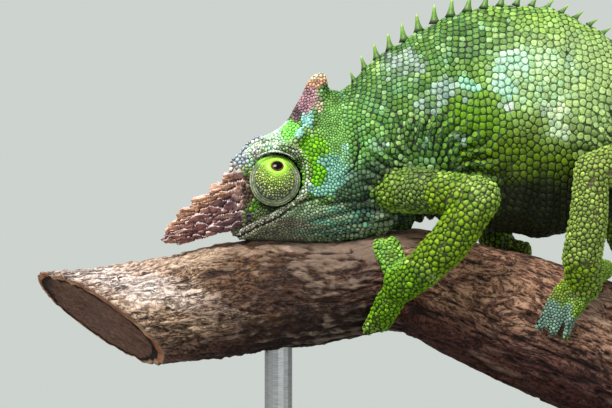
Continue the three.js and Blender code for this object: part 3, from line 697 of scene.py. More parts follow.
def read(items, key, width, kind=float):
    """Rows of numbers read from all of a mesh's points or edges."""
    values = np.empty(len(items) * width, kind)
    items.foreach_get(key, values)
    return values.reshape(-1, width)


hide = read(hide_mesh.vertices, "co", 3) / MM
bent = read(hide_mesh.vertices, "normal", 3)
hide_mark = mark_at(hide)


def distance_to(points, line):
    """How far each point is from a line of straight lengths, and the share along it of the nearest place."""
    best, share = np.full(len(points), 1e9), np.zeros(len(points))
    line = np.asarray(line, float)
    for i, (a, b) in enumerate(zip(line[:-1], line[1:])):
        t = np.clip((points - a) @ (b - a) / ((b - a) @ (b - a)), 0, 1)
        d = length(points - a - t[:, None] * (b - a))
        share = np.where(d < best, (i + t) / (len(line) - 1), share)
        best = np.minimum(best, d)
    return best, share


# What is pressed in or swells out: the mouth's line, the nostrils, furrows of the throat, waves of the
# flank, and folds that fan out from each limb's root.
MOUTH = [
    [-57, 82.2], [-54.4, 83.0], [-50.0, 85.2], [-46.0, 87.1], [-43.4, 88.9], [-41.2, 90.4], [-38, 91.3],
    [-33.5, 92.4]]
NOSTRIL = np.array([-52.3, -5.6, 87.3])
FURROWS = [
    [[-42, 83.6], [-34, 85.0], [-26, 86.4], [-20, 86.2]],
    [[-44, 85.2], [-36, 87.2], [-28, 88.8], [-21, 88.6]], [[-38, 89.4], [-31, 90.6], [-25, 90.8]],
    [[-40, 82.4], [-32, 83.2], [-25, 84.4]], [[-33.5, 94.5], [-30, 97.5], [-28.6, 102], [-29.4, 107]],
    [[-27, 92], [-24, 95], [-22.6, 99]]]
LIMB_ROOTS = [[-14.5, 95.5], [33.0, 99.0]]
left_side = on_left(hide)
flat_side = left_side[:, [0, 2]]
gap, share = distance_to(flat_side, MOUTH)
press = np.where(hide[:, 0] < -22, -0.9 * np.exp(-(gap / 0.22) ** 2) * np.clip((1.02 - share) * 5, 0, 1), 0)
press -= 0.9 * np.exp(-(length(left_side - NOSTRIL) / 0.55) ** 2)
for line in FURROWS:
    gap, share = distance_to(flat_side, line)
    fading = np.sin(np.clip(share, 0.03, 0.97) * math.pi) ** 0.5
    press -= np.where(hide[:, 0] < -15, 0.7 * np.exp(-(gap / 0.5) ** 2) * fading, 0)
trunk_only = (hide_mark[:, 0] == 0) & (hide[:, 0] > -28)
press += np.where(trunk_only, 0.62, 0.12) * noise_at(hide, (3.6, 9, 13), 2.0, 2)
for root in LIMB_ROOTS:
    apart = flat_side - root
    far = length(apart)
    fan = np.cos(np.arctan2(apart[:, 1], apart[:, 0]) * 26 + 1.6 * np.sin(far * 0.55))
    press += np.where(trunk_only, 0.6 * fan * np.exp(-((far - 10) / 5.5) ** 2), 0)
hide += bent * press[:, None]
hollow_of = np.clip(-press / 0.55, 0, 1)

# The eyes' sockets, each a little wider at the top, where the brow hangs clear over the turret.
EYE_CENTRE, EYE_RADIUS = np.array([-46.6, -5.6, 95.0]), 5.7
SOCKET_RADIUS, SOCKET_DEEPEST = EYE_RADIUS + 0.15, 2.6
for side in (1, -1):
    apart = hide - EYE_CENTRE * [1, side, 1]
    radius = length(apart[:, [0, 2]])
    deep = np.sqrt(np.clip(SOCKET_RADIUS**2 - radius**2, 0, None))
    under_brow = np.clip(apart[:, 2] / (radius + 1e-6), 0, 1) ** 3
    inside = (radius < SOCKET_RADIUS + 0.5 * under_brow) & (hide[:, 1] * side < -1.5)
    floor_y = EYE_CENTRE[1] + np.minimum(deep, SOCKET_DEEPEST)
    hide[inside, 1] = np.maximum(hide[inside, 1] * side, floor_y[inside]) * side

# Palms and belly rest on the bark and never sink into it.
BARK_CLEAR = 0.55
nearest_x = np.clip(hide[:, 0], perch_start, perch_end)
slope = perch_height(nearest_x + 0.5) - perch_height(nearest_x - 0.5)
out = np.stack([0 * nearest_x, hide[:, 1], (hide[:, 2] - perch_height(nearest_x)) / np.sqrt(1 + slope**2)], 1)
reach = length(out)
lacking = perch_radius(nearest_x) + BARK_CLEAR - reach
inside = (lacking > 0) & (hide[:, 0] < perch_end + 0.8)
hide[inside] += (out / reach[:, None] * lacking[:, None])[inside]
hide_mesh.vertices.foreach_set("co", (hide * MM).ravel())
hide_mesh.update()

# How much each place belongs to a limb, softened over the joins with the trunk.
is_limb_form = np.array([any(word in name for word in ("_upper", "_lower", "_palm", "_toe"))
                         for name in FORMS])
limb = is_limb_form[hide_mark[:, 0].astype(int)].astype(float)
edges = read(hide_mesh.edges, "vertices", 2, np.int32)
valence = np.maximum(np.bincount(edges.ravel(), minlength=len(hide)), 1)
for _ in range(8):
    from_neighbours = sum(np.bincount(edges[:, end], limb[edges[:, 1 - end]], len(hide)) for end in (0, 1))
    limb = (limb + from_neighbours / valence) / 2
store(hide_mesh, hollow=hollow_of, limb=limb)
skin = object_of("hide", hide_mesh)

# The animal's colours lie in soft-edged patches on both sides alike: middle x, distance from the midline,
# height, the three half sizes (mm), colour and strength. Later patches lie over earlier ones.
PATCHES = [
    ((2, 10, 107), (13, 16, 13), (108, 152, 34), 0.92),       # behind the shoulder, warm green
    ((16, 10, 99), (20, 16, 10), (88, 112, 10), 0.95),        # low flank, olive
    ((12, 8, 87), (32, 16, 9), (28, 32, 4), 0.98),           # belly, dark olive: partly its own colour, partly painted shade
    ((-10, 9, 90), (12, 14, 7), (70, 92, 44), 0.7),
    ((36, 10, 118), (35, 26, 17.5), (166, 190, 132), 0.93),  # pale saddle over the hips
    ((16, 4, 132), (20, 8, 6), (150, 186, 96), 0.85),        # yellower along the back
    ((8.5, 9, 117), (10, 9, 7), (184, 216, 180), 0.88),       # whitish edge of the saddle
    ((3.4, 9, 119.8), (3.6, 9, 2.2), (186, 222, 206), 0.9),
    ((1.6, 9, 115.4), (2.0, 9, 3.0), (176, 218, 202), 0.9),
    ((2.6, 9, 110.8), (2.4, 8, 1.7), (200, 212, 214), 0.95),
    ((12.2, 9, 109), (4.6, 8, 1.7), (190, 208, 178), 0.9),
    ((12.6, 9, 105), (3.2, 8, 1.8), (192, 212, 184), 0.9),
    ((-20.0, 8, 120.6), (5.2, 9, 3.4), (170, 186, 186), 0.88),
    ((-9.8, 9, 114), (4.2, 8, 2.6), (168, 190, 188), 0.88),
    ((-14.8, 9, 110.4), (3.0, 8, 2.6), (168, 190, 188), 0.88),
    ((-5.5, 9, 115.6), (1.7, 8, 1.5), (158, 212, 194), 0.92),
    ((-7.4, 9, 104.2), (1.7, 8, 1.4), (170, 196, 180), 0.9),
    ((-24.4, 8, 102.6), (2.2, 8, 1.7), (174, 200, 188), 0.9),
    ((-29, 7, 104), (6, 8, 10), (116, 176, 92), 0.6),        # side of the neck
    ((-34.2, 8, 104.5), (3.4, 6, 9.5), (132, 180, 100), 0.92),
    ((-31.4, 8, 98.6), (1.3, 6, 4.2), (170, 214, 200), 0.85),
    ((-25, 8, 91), (9, 9, 8), (70, 96, 74), 0.95),            # under the neck, painted shade
    ((-38, 7, 85), (17, 8, 5), (158, 178, 154), 0.97),         # throat
    ((-47, 6, 83.8), (9, 8, 3.8), (144, 140, 128), 0.97),       # chin and lips
    ((-32, 8, 86.3), (8, 7, 0.8), (124, 178, 164), 0.95),    # blue-green streaks along the throat
    ((-30, 8, 88.6), (6, 7, 0.7), (116, 168, 152), 0.95),
    ((-36, 8, 83.9), (8, 7, 0.6), (104, 150, 138), 0.95),
    ((-38.2, 8.4, 101.1), (3.0, 6, 4.0), (124, 186, 42), 0.95),  # lime cheek
    ((-39.9, 8.4, 95.1), (1.2, 6, 3.8), (124, 182, 50), 0.9),
    ((-34.9, 8.4, 96.6), (3.3, 6, 4.3), (144, 196, 186), 0.95),  # turquoise cheek
    ((-36.4, 8.4, 93.3), (4.0, 6, 1.5), (148, 202, 192), 0.95),
    ((-37.2, 8.4, 95.9), (1.9, 5, 2.3), (120, 190, 36), 0.97),
    ((-51.2, 6, 88.6), (4.2, 6, 3.6), (98, 112, 76), 0.9),   # round the nostril
    ((-51.2, 6, 90.4), (2.0, 6, 2.1), (92, 142, 34), 0.95),  # below and before the eye
    ((-51.6, 3, 100.8), (2.6, 7, 3.0), (186, 220, 200), 0.97),   # side of the snout
    ((-47.2, 4, 103.0), (4.8, 6, 3.0), (196, 224, 206), 0.97),   # above the brow
    ((-54.6, 3, 100.8), (2.5, 6, 3.2), (216, 226, 250), 0.95),   # frosted edge of the snout
    ((-51.6, 2, 104.8), (2.9, 5, 2.1), (214, 222, 250), 0.97),
    ((-46.4, 2, 107.0), (3.6, 5, 1.8), (204, 216, 240), 0.93),
    ((-56.0, 3, 96.8), (2.2, 6, 2.0), (214, 206, 210), 0.95),
    ((-52.9, 6, 92.6), (1.4, 5, 3.6), (84, 60, 54), 0.95),   # shadowed strip before the eye
    ((-50.4, 6, 100.4), (1.1, 5, 2.2), (196, 194, 196), 0.9),
    ((-43.2, 4, 105.7), (2.4, 4, 3.0), (140, 218, 106), 0.95),    # side of the casque
    ((-41.2, 4, 104.8), (1.3, 4, 2.1), (172, 226, 222), 0.95),
    ((-39.6, 4, 108.2), (1.3, 4, 2.4), (164, 220, 222), 0.95),
    ((-42.2, 1.5, 110.6), (1.6, 4, 3.2), (110, 78, 98), 0.9),
    ((-39.6, 2, 112.8), (2.5, 4, 3.4), (178, 136, 156), 0.95),
    ((-37.2, 2, 111.0), (1.1, 4, 3.0), (206, 182, 174), 0.85),
    ((-38.2, 1, 116.4), (2.9, 3.6, 1.8), (226, 176, 156), 0.95),
    ((-37.8, 1, 118.0), (2.6, 2.6, 1.4), (240, 220, 204), 0.95),
    ((56, 0, 100), (12, 9, 9), (150, 186, 100), 0.9),        # root of the tail
    ((88, 2, 69), (26, 9, 26), (108, 146, 62), 0.95),        # coil
]
LIMB_PATCHES = [
    ((-10, 19, 85), (12, 7, 10), (116, 148, 38), 1.0),       # forearm
    ((-14, 12, 93), (7, 7, 6), (104, 128, 70), 0.9),
    ((-3, 23, 94), (4, 6, 4), (152, 182, 100), 0.75),        # elbow
    ((-22, 16, 70), (9, 9, 8), (104, 150, 22), 0.95),        # hand
    ((-23, 12, 80), (5, 6, 5), (142, 200, 92), 0.85),
    ((19, 20, 90), (8, 9, 12), (148, 170, 90), 0.95),        # shank
    ((34, 14, 98), (12, 9, 10), (152, 176, 100), 0.9),
    ((15, 17, 75), (7, 8, 5), (134, 152, 76), 0.9),
    ((15, 17, 75), (5, 8, 3.5), (132, 164, 44), 0.9),        # top of the hind foot
    ((10.4, 16, 64.8), (6.0, 8, 5.0), (126, 156, 152), 0.95),  # hind toes, turquoise
    ((37.4, 15, 56), (6.0, 8, 5.0), (126, 156, 152), 0.95),
]

LIMB_GREEN = [(0.3, (104, 140, 48)), (0.5, (126, 160, 64)), (0.68, (160, 184, 104))]
TRUNK_GREEN = [(0.3, (84, 124, 62)), (0.5, (108, 150, 84)), (0.68, (166, 196, 156))]
markings, inlet, outlet = group_of("animal_markings", "Shader", {"Place": "Vector", "Limb": "Float"},
                                   {"Color": "Color"})
place = inlet["Place"]
# The patches' edges wander, less on the head than on the body.
wobble = grain(markings, place, 210, 3.0, 0.6, output="Color")
shift = add(markings, "VectorMath", {0: wobble, 1: (0.5, 0.5, 0.5)}, operation="SUBTRACT").outputs[0]
reach = add(markings, "MapRange", {"Value": axis_of(markings, place, "X"), "From Min": -0.036,
                                   "From Max": -0.026, "To Min": 0.0032, "To Max": 0.0095}).outputs[0]
shift = add(markings, "VectorMath", {0: shift, "Scale": reach}, operation="SCALE").outputs[0]
moved = add(markings, "VectorMath", {0: shift, 1: place}, operation="ADD").outputs[0]
x, y, z = [axis_of(markings, moved, axis) for axis in "XYZ"]
halved = add(markings, "CombineXYZ", {"X": x, "Y": sum_of(markings, "ABSOLUTE", y), "Z": z}).outputs[0]
mottle = grain(markings, place, 520, 2.0)
speckle = ramp(markings, grain(markings, place, 380, 2.0), [(0.4, 0.25), (0.56, 1.0)])
cool = ramp(markings, grain(markings, place, 240, 3.0, 0.7),
            [(0.36, (190, 220, 238)), (0.64, (255, 250, 170))])
trunk_green = blend_of(markings, 0.6, ramp(markings, mottle, TRUNK_GREEN), cool, "MULTIPLY")


def soft_edge(middle, half, tint, on_limb):
    """How gradually a patch fades, as a share of its size: sharp on the head and limbs and for small ones."""
    if on_limb or middle[0] < -30 or half[0] < 6:
        return 0.12
    return 0.16 if tint[0] > 170 else 0.3


def patched(color, patches, on_limb):
    """The colour with each of the patches laid over it in turn."""
    for middle, half, tint, strength in patches:
        centre, shrink = tuple(c * MM for c in middle), tuple(1 / (c * MM) for c in half)
        away = add(markings, "VectorMath", {0: halved, 1: centre}, operation="SUBTRACT").outputs[0]
        away = add(markings, "VectorMath", {0: away, 1: shrink}, operation="MULTIPLY").outputs[0]
        away = add(markings, "VectorMath", {0: away}, operation="LENGTH").outputs["Value"]
        soft = soft_edge(middle, half, tint, on_limb)
        mask = add(markings, "MapRange", {"Value": away, "From Min": 1 + soft, "From Max": 1 - soft,
                                          "To Max": strength}, interpolation_type="SMOOTHSTEP").outputs[0]
        if strength < 0.9:  # the weaker patches are broken up
            mask = sum_of(markings, "MULTIPLY", mask, speckle)
        color = blend_of(markings, mask, color, tint)
    return color


on_trunk = patched(trunk_green, PATCHES, False)
on_limbs = patched(ramp(markings, mottle, LIMB_GREEN), LIMB_PATCHES, True)
color = blend_of(markings, inlet["Limb"], on_trunk, on_limbs)
color = blend_of(markings, 0.4, color, ramp(markings, mottle, [(0.3, 0.3), (0.7, 0.74)]), "OVERLAY")
markings.links.new(color, outlet["Color"])


def marked(tree, place):
    """The animal's own colour at a place."""
    return add(tree, "Group", {"Place": place, "Limb": attribute(tree, "limb")},
               node_tree=markings).outputs["Color"]


hide_finish, tree, place = finish_of("hide", 0.7)
pebble = add(tree, "TexVoronoi", {"Vector": place, "Scale": 1900.0}, feature="F1").outputs["Distance"]
tone = marked(tree, place)
on_trunk = blend_of(tree, 0.9, tone, tone, "MULTIPLY")
on_limbs = blend_of(tree, 0.9, tone, (176, 148, 142), "MULTIPLY")
tone = blend_of(tree, attribute(tree, "limb"), on_trunk, on_limbs)
tone = blend_of(tree, ramp(tree, pebble, [(0.2, 0.0), (0.7, 0.75)]), tone, (22, 26, 20))
# Painted shade in the hide's hollows: the mouth's line, the nostrils, the throat's furrows and the folds.
furrow_shade = ramp(tree, attribute(tree, "hollow"), [(0.3, 0.0), (0.95, 0.94)])
paint(tree, Base_Color=blend_of(tree, furrow_shade, tone, (14, 14, 12)))
bump_of(tree, pebble, 0.5, -0.0002)
hide_mesh.materials.clear()
hide_mesh.materials.append(hide_finish)
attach(skin, "root")
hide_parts("skull", "jaw", "casque", "neck", "trunk", "tail_root", "tail_bend", "tail_outer_coil",
            "tail_inner_coil", "tail_tip", "upper_arm_left", "forearm_left", "hand_left", "upper_arm_right",
            "forearm_right", "hand_right", "thigh_left", "shank_left", "foot_left", "thigh_right",
            "shank_right", "foot_right")


# ---- Scales ----
# A coat of low rounded scales with narrow dark gaps: even columns on the trunk, rings round the tail, mixed
# beads and granules on the limbs, small ones on the face and feet. All of them stand on the hide.
hide_ball = BVHTree.FromPolygons(hide.tolist(), [list(p.vertices) for p in hide_mesh.polygons])


def on_hide(points):
    """The nearest places on the hide, their outward normals, and how far they were."""
    found = [hide_ball.find_nearest(p) for p in points.tolist()]
    return [np.array(part) for part in zip(*[(at[:], normal[:], gap) for at, normal, _, gap in found])]


def in_patch(points, middle, half):
    """1 well inside a patch given as in PATCHES, and 0 outside."""
    away = length((on_left(points) * [1, -1, 1] - middle) / half)
    return np.clip(1.2 - away, 0, 0.4) / 0.4


def has(names, *words):
    """Which of the names hold one of the words."""
    return np.any([np.char.find(names, word) >= 0 for word in words], axis=0)


# The mean distance between scales on each form, and on patches of the head, in millimetres.
PITCH = (("body", 0.82), ("casque", 0.88), ("crest", 0.84), ("brow", 0.68), ("snout_edge", 0.7),
         ("upper", 1.1), ("lower", 1.2), ("palm", 1.05), ("toe", 0.96), ("tail", 1.1), ("lip", 0.58))
TRUNK_PITCH, HIND_TOE_PITCH, SHANK_PITCH = 1.15, 0.7, 1.04
HEAD_PITCH = (((-34.2, 8, 105), (3.3, 6, 9.5), 0.64), ((-38.3, 8, 99), (3.6, 6, 6), 1.02),
              ((-38, 7, 84), (18, 9, 6), 0.84), ((-47, 6, 84), (9, 9, 6), 0.74),
              ((-54, 3, 92), (4, 7, 12), 0.66))


def pitch_at(points, form_names):
    pitch = np.full(len(points), 1.0)
    for word, value in PITCH:
        pitch[has(form_names, word)] = value
    pitch[~has(form_names, "arm", "leg") & (points[:, 0] > -31)] = TRUNK_PITCH
    pitch[has(form_names, "leg") & has(form_names, "toe")] = HIND_TOE_PITCH
    pitch[has(form_names, "leg") & has(form_names, "lower")] = SHANK_PITCH
    head = (points[:, 0] < -30) & has(form_names, "body")
    for middle, half, value in HEAD_PITCH:
        amount = in_patch(points, middle, half) * head
        pitch = pitch * (1 - amount) + value * amount
    return pitch


hide_tree = tree_of(hide)
seed_at, seed_radius, seed_hold = [], [], []  # places, half sizes, and how firmly each keeps its place

# Trunk and neck: columns of broad squarish plates down both sides from the midline of the back.
x = -30.6
section = np.linspace(0, math.pi, 240)
column_gap = through([[-31, 0.9], [-22, 1.1], [-10, 1.26], [2, 1.45], [14, 1.5], [30, 1.32], [50, 1.15]])
row_gap = through([[0, 0.86], [6, 1.0], [20, 1.16], [34, 1.24], [46, 1.0], [60, 0.9]])
while x < 50:
    line = body_at(np.full(len(section), x), section, -COAT)
    arc = run_along(line)
    size = float(column_gap(x))
    s, stops = 0.0, []
    while s < arc[-1]:
        stops.append(s + 0.25 * size * math.sin(x * 0.9))
        s += size * float(row_gap(s))
    stops = np.array(stops)
    rows = size * row_gap(stops)
    for side in (1, -1):
        row = body_at(np.full(len(stops), x), np.interp(stops, arc, section)) * [1, side, 1]
        if side < 0:
            row = row[1:]
        row[:, 0] += 0.8 * np.sin(row[:, 2] / 5.3 + side + x / 7) + 0.35 * np.sin(row[:, 2] / 2.1 + x / 3)
        row += chance.normal(0, 0.07, row.shape)
        seed_at.append(row)
        seed_radius.append(rows[-len(row):] * 0.5 * chance.uniform(0.88, 1.06, len(row)))
        seed_hold.append(np.full(len(row), 0.8))
    x += size

# Tail: rings of scales that grow smaller to the tip.
at, along, normal, side_axis, across, deep = tube_frames(TAIL, [0, 1, 0], 900)
run = run_along(at)
ring_pitch = through([[0, 1.3], [60, 1.15], [120, 0.95], [200, 0.6]])
s, ring_no = 5.0, 0
while s < run[-1] - 0.3:
    i = int(np.searchsorted(run, s))
    size = float(ring_pitch(s))
    number = max(7, round(2 * math.pi * across[i] / size))
    a = (np.arange(number) + 0.5 * (ring_no % 2)) * 2 * math.pi / number
    seed_at.append(at[i] + np.cos(a)[:, None] * side_axis[i] * across[i]
                   + np.sin(a)[:, None] * normal[i] * deep[i])
    seed_radius.append(np.full(number, size * 0.5))
    seed_hold.append(np.full(number, 0.8))
    s += size * 0.88
    ring_no += 1

# Rows of larger scales along the ridges of the head.
RIDGE_HOLD = 0.93
for name, half, lean in (("brow", 0.4, 0.9), ("crest", 0.44, 0.4), ("snout_edge", 0.42, 0.6)):
    fine_line = curve_at([stop[:3] for stop in RIDGES[name]], np.linspace(0, 1, 200))
    arc = run_along(fine_line)
    number = int(arc[-1] / (2.0 * half)) + 1
    stops = np.interp(np.arange(number) * arc[-1] / (number - 1), arc, np.arange(200)).astype(int)
    for side in (1, -1):
        row = fine_line[stops] + [0, -1.6, 1.6 * lean] + chance.normal(0, 0.2 * half, (number, 3))
        seed_at.append(row * [1, side, 1])
        seed_radius.append(np.full(number, half) * chance.uniform(0.8, 1.2, number))
        seed_hold.append(np.full(number, RIDGE_HOLD))

placed, placed_radius, placed_hold = [np.concatenate(rows) for rows in (seed_at, seed_radius, seed_hold)]
on_ridge = placed_hold == RIDGE_HOLD
spot, bend, gap = on_hide(placed)
keep = (gap < np.where(on_ridge, 2.2, 0.95)) & ((limb[nearest(hide_tree, spot)] < 0.3) | on_ridge)
spot, placed_radius, placed_hold = spot[keep], placed_radius[keep], placed_hold[keep]

# Everywhere else: scattered evenly over the hide's own square faces, then pushed apart until they sit close.
corner_of = np.empty(len(hide_mesh.loops), np.int32)
hide_mesh.loops.foreach_get("vertex_index", corner_of)
starts = np.array([p.loop_start for p in hide_mesh.polygons])
quads = corner_of[starts[:, None] + np.arange(4)]
corners = hide[quads]
area = 0.5 * length(np.cross(corners[:, 2] - corners[:, 0], corners[:, 3] - corners[:, 1]))
middle = corners.mean(1)
form_names = np.array(FORMS)[hide_mark[quads[:, 0], 0].astype(int)]
spot_tree = tree_of(spot)
pitch = pitch_at(middle, form_names)
free = np.array([spot_tree.find(p)[2] for p in middle.tolist()]) > pitch * 0.8
on_eye = length(on_left(middle) - EYE_CENTRE) < EYE_RADIUS + 0.25
share = area / (0.866 * pitch**2) * 1.16 * (free & ~on_eye)
number = int(share.sum())
chosen = chance.choice(len(share), number, p=share / share.sum())
u, v = chance.uniform(0, 1, (number, 2)).T[..., None]
first, second, third, fourth = corners[chosen].transpose(1, 0, 2)
loose = first * ((1 - u) * (1 - v)) + second * (u * (1 - v)) + third * (u * v) + fourth * ((1 - u) * v)
mixed = has(form_names[chosen], "arm", "leg") & ~(has(form_names[chosen], "toe")
                                                  & has(form_names[chosen], "leg"))
kind = chance.uniform(0, 1, number)
beads, granules = chance.uniform(0.98, 1.3, number), chance.uniform(0.45, 0.65, number)
size = np.where(mixed, np.where(kind < 0.55, beads, granules), chance.uniform(0.8, 1.16, number))
spot = np.concatenate([spot, loose])
radius = np.concatenate([placed_radius, pitch[chosen] * 0.5 * size])
hold = np.concatenate([placed_hold, np.zeros(number)])


def neighbours_of(points, count=12):
    """The numbers of each point's nearest others."""
    tree = tree_of(points)
    return np.array([[found[1] for found in tree.find_n(p, count + 1)][1:] for p in points.tolist()])


ROUNDS = 15
for turn in range(ROUNDS):
    if turn % 3 == 0:
        near = neighbours_of(spot, 11)
    offset = spot[:, None] - spot[near]
    apart = length(offset) + 1e-6
    want = (radius[:, None] + radius[near]) * 1.03
    push = np.clip(want - apart, 0, None) * 0.5
    step = (offset / apart[..., None] * push[..., None]).sum(1) * 0.62
    spot = spot + step * (1 - hold)[:, None]
    if turn % 3 == 2:
        spot, bend, _ = on_hide(spot)

# The smaller of two that still crowd each other goes, and so does what lies over an eye, the mouth or a
# nostril.
crowded = np.zeros(len(spot), bool)
near = neighbours_of(spot, 12)
apart = length(spot[:, None] - spot[near])
for i in np.argsort(radius):
    if (~crowded[near[i]] & (apart[i] < 0.52 * (radius[i] + radius[near[i]]))).any():
        crowded[i] = True
over_eye = length(on_left(spot) - EYE_CENTRE) < EYE_RADIUS + 0.3
gap, share = distance_to(spot[:, [0, 2]], MOUTH)
over_mouth = (gap < 0.36) & (share < 0.93) & (spot[:, 0] < -36)
over_nostril = length(on_left(spot) - NOSTRIL) < 0.86
keep = ~(crowded | over_eye | over_mouth | over_nostril)
spot, bend, radius, hold = spot[keep], bend[keep], radius[keep], hold[keep]
near = neighbours_of(spot, 12)
hide_near = nearest(hide_tree, spot)
mark = mark_at(spot)
form = np.array(FORMS)[mark[:, 0].astype(int)]
is_limb = has(form, "arm", "leg")


def along_hide(ways):
    """The ways laid flat on the hide at the spots."""
    return unit(ways - bend * (ways * bend).sum(1)[:, None])


# Each scale lies lengthwise along its form; on the temple and neck they stretch along the slanting folds.
temple = in_patch(spot, (-34.0, 8, 104), (4.2, 6, 12)) * (spot[:, 0] < -29.5)
slant = np.array([0.3, 0, -1.0]) - bend * (bend @ [0.3, 0, -1.0])[:, None]
lead = unit(along_hide(mark[:, 3:6]) * (1 - temple[:, None]) + slant * temple[:, None])
stretch = np.where((form == "body") & (spot[:, 0] > -31) & (radius > 0.4), 0.86, 1 + 0.45 * temple)

SIDES = 8
POINTS = 3 * SIDES + 1  # three rings and a top
LEVELS = ((1.0, -0.5), (0.94, 0.42), (0.62, 0.9))  # each ring's share of the outline and of the height
LEVEL_TOPS = ((1.0, -0.5), (0.96, 0.66), (0.74, 0.97))
SPREAD = 1.32  # how far a scale with no close neighbour reaches, as a share of its half size
SINK = 0.2  # twice the depth to which its rim goes below the hide's surface
UNBOUND = 9.0  # more than any scale's reach


def raise_scales(spot, bend, lead, near, radius, tall, longer=1.0, level=0.0, fill=0.93):
    """Closed low domes round the spots that meet halfway to their neighbours, some with level tops."""
    count = len(spot)
    level = np.broadcast_to(level, (count,))[:, None]
    longer = np.broadcast_to(longer, (count,))[:, None]
    aside = np.cross(bend, lead)
    turn = (np.arange(SIDES) + chance.uniform(0, 1, (count, 1))) * 2 * math.pi / SIDES
    offset = spot[near] - spot[:, None]
    dx, dy = (offset * lead[:, None]).sum(2) / longer, (offset * aside[:, None]).sum(2)
    away = np.hypot(dx, dy) + 1e-6
    facing = (bend[near] * bend[:, None]).sum(2)
    cut = np.where(facing > 0.1, away * radius[:, None] / (radius[:, None] + radius[near]), UNBOUND)
    cosine = np.cos(turn[:, :, None] - np.arctan2(dy, dx)[:, None, :])
    bound = np.where(cosine > 0.2, cut[:, None, :] / np.clip(cosine, 0.2, None), UNBOUND).min(2)
    outline = np.minimum(bound * fill, radius[:, None] * SPREAD) * chance.uniform(0.93, 1.0, (count, SIDES))
    ahead, across = np.cos(turn) * outline * longer, np.sin(turn) * outline
    rows = []
    for (inward, rise), (level_in, level_rise) in zip(LEVELS, LEVEL_TOPS):
        inward, rise = inward + (level_in - inward) * level, rise + (level_rise - rise) * level
        up = np.where(rise < 0, rise * SINK, rise * tall[:, None])
        flat = lead[:, None] * (ahead * inward)[..., None] + aside[:, None] * (across * inward)[..., None]
        rows.append(spot[:, None] + flat + bend[:, None] * up[..., None])
    flat_map = [np.stack([np.cos(turn) * share, np.sin(turn) * share], -1) for share in (1.0, 0.86, 0.5)]
    flat_map = np.concatenate([*flat_map, np.zeros((count, 1, 2))], 1)
    return np.concatenate([*rows, (spot + bend * tall[:, None])[:, None]], 1), flat_map


k = np.arange(SIDES)
n = (k + 1) % SIDES
scale_faces = [np.stack([k + low, n + low, n + low + SIDES], 1) for low in (0, SIDES)]
scale_faces += [np.stack([k + low, n + low + SIDES, k + low + SIDES], 1) for low in (0, SIDES)]
scale_faces += [np.stack([k + 2 * SIDES, n + 2 * SIDES, np.full(SIDES, POINTS - 1)], 1)]
scale_faces += [np.array([[0, i + 1, i] for i in range(1, SIDES - 1)])]
scale_faces = np.concatenate(scale_faces)
scale_rise = np.repeat([0.0, 0.35, 0.85, 1.0], [SIDES, SIDES, SIDES, 1])
BAKE_REACH = 0.0014  # half the width of a scale's own patch of the baked pictures


def coat_piece(name, shapes, flat_map, roots, root_uv, tone, ridge, material, limb=0.0):
    """Joins raised scales into one piece, with each one's root, height, tone and bake patch."""
    faces = (scale_faces[None] + POINTS * np.arange(len(shapes))[:, None, None]).reshape(-1, 3)
    coat = mesh_of(name, shapes.reshape(-1, 3), faces, material)
    store(coat.data, root=np.repeat(roots * MM, POINTS, axis=0), rise=np.tile(scale_rise, len(shapes)),
          tone=np.repeat(tone, POINTS), ridge=np.repeat(ridge, POINTS),
          limb=np.repeat(limb + 0 * tone, POINTS))
    patch = root_uv[:, None] + BAKE_REACH * flat_map
    patch = patch.reshape(-1, 2)[faces.ravel()]
    coat.data.uv_layers.new(name="OFBake").data.foreach_set("uv", patch.ravel())
    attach(coat, "root")


tall = radius * chance.uniform(0.5, 0.68, len(spot))
tall = np.where(is_limb, radius * chance.uniform(0.6, 0.8, len(spot)), tall)
tall = np.where(hold > 0.9, np.where(has(form, "lip"), 0.4, 0.85) * radius, tall)
# The flank's tubercles are flat plates, close together; those of the head and limbs are beads.
on_flank = np.clip((spot[:, 0] + 31) / 4, 0, 1) * (form == "body")
tall = tall * (1 - 0.38 * on_flank) * (1 - 0.35 * in_patch(spot, (36, 10, 118), (35, 26, 17.5)))
on_brow = in_patch(spot, (-50, 3, 103), (9, 8, 7))
tall = tall * (1 - 0.3 * on_brow)
close = np.maximum(on_flank, on_brow)
scale_shapes, flat_map = raise_scales(spot, bend, lead, near, radius, tall, stretch, on_flank,
                                      0.93 + 0.035 * close[:, None])
varied = (0.7 - 0.32 * on_flank) * chance.uniform(0, 1, len(spot))
# Each scale's tone varies at random and is darker where its root sits in a fold of the hide, as painted
# shade.
tone_with_fold_shade = 0.3 + 0.16 * close + varied - 0.42 * hollow_of[hide_near] ** 1.4

# Each scale's colours bake to a small patch at its root's place on an unwrap of the form that it grows
# from: the body takes the first strip of the baked picture, the tail the next, and the other forms share a
# chequer of eight by eight.
lengths = np.array([m[:, 1].max() - m[:, 1].min() for m in hide_marks])
firsts = np.array([m[:, 1].min() for m in hide_marks])
which = mark[:, 0].astype(int)
part_u, part_v = np.clip((mark[:, 1] - firsts[which]) / lengths[which], 0, 1), mark[:, 2] % 1
down_strip = 0.01 + 0.98 * part_u
column, row = 0.55 + 0.44 * ((which % 8) + 0.06 + 0.88
                             * part_v) / 8, 0.01 + 0.98 * ((which // 8) + 0.04 + 0.92 * part_u) / 8
root_uv = np.stack([column, row], 1)
root_uv = np.where((which == 0)[:, None], np.stack([0.01 + 0.42 * part_v, down_strip], 1), root_uv)
on_tail = (which == FORMS.index("tail"))[:, None]
root_uv = np.where(on_tail, np.stack([0.45 + 0.08 * part_v, down_strip], 1), root_uv)
CHALK = [
    (0.0, (34, 44, 38)), (0.3, (118, 138, 128)), (0.5, (174, 182, 162)), (0.8, (210, 210, 184)),
    (1.0, (255, 255, 228))]
BRONZE = [
    (0.0, (80, 68, 64)), (0.35, (140, 120, 112)), (0.6, (182, 166, 158)), (0.8, (210, 208, 206)),
    (1.0, (226, 230, 238))]
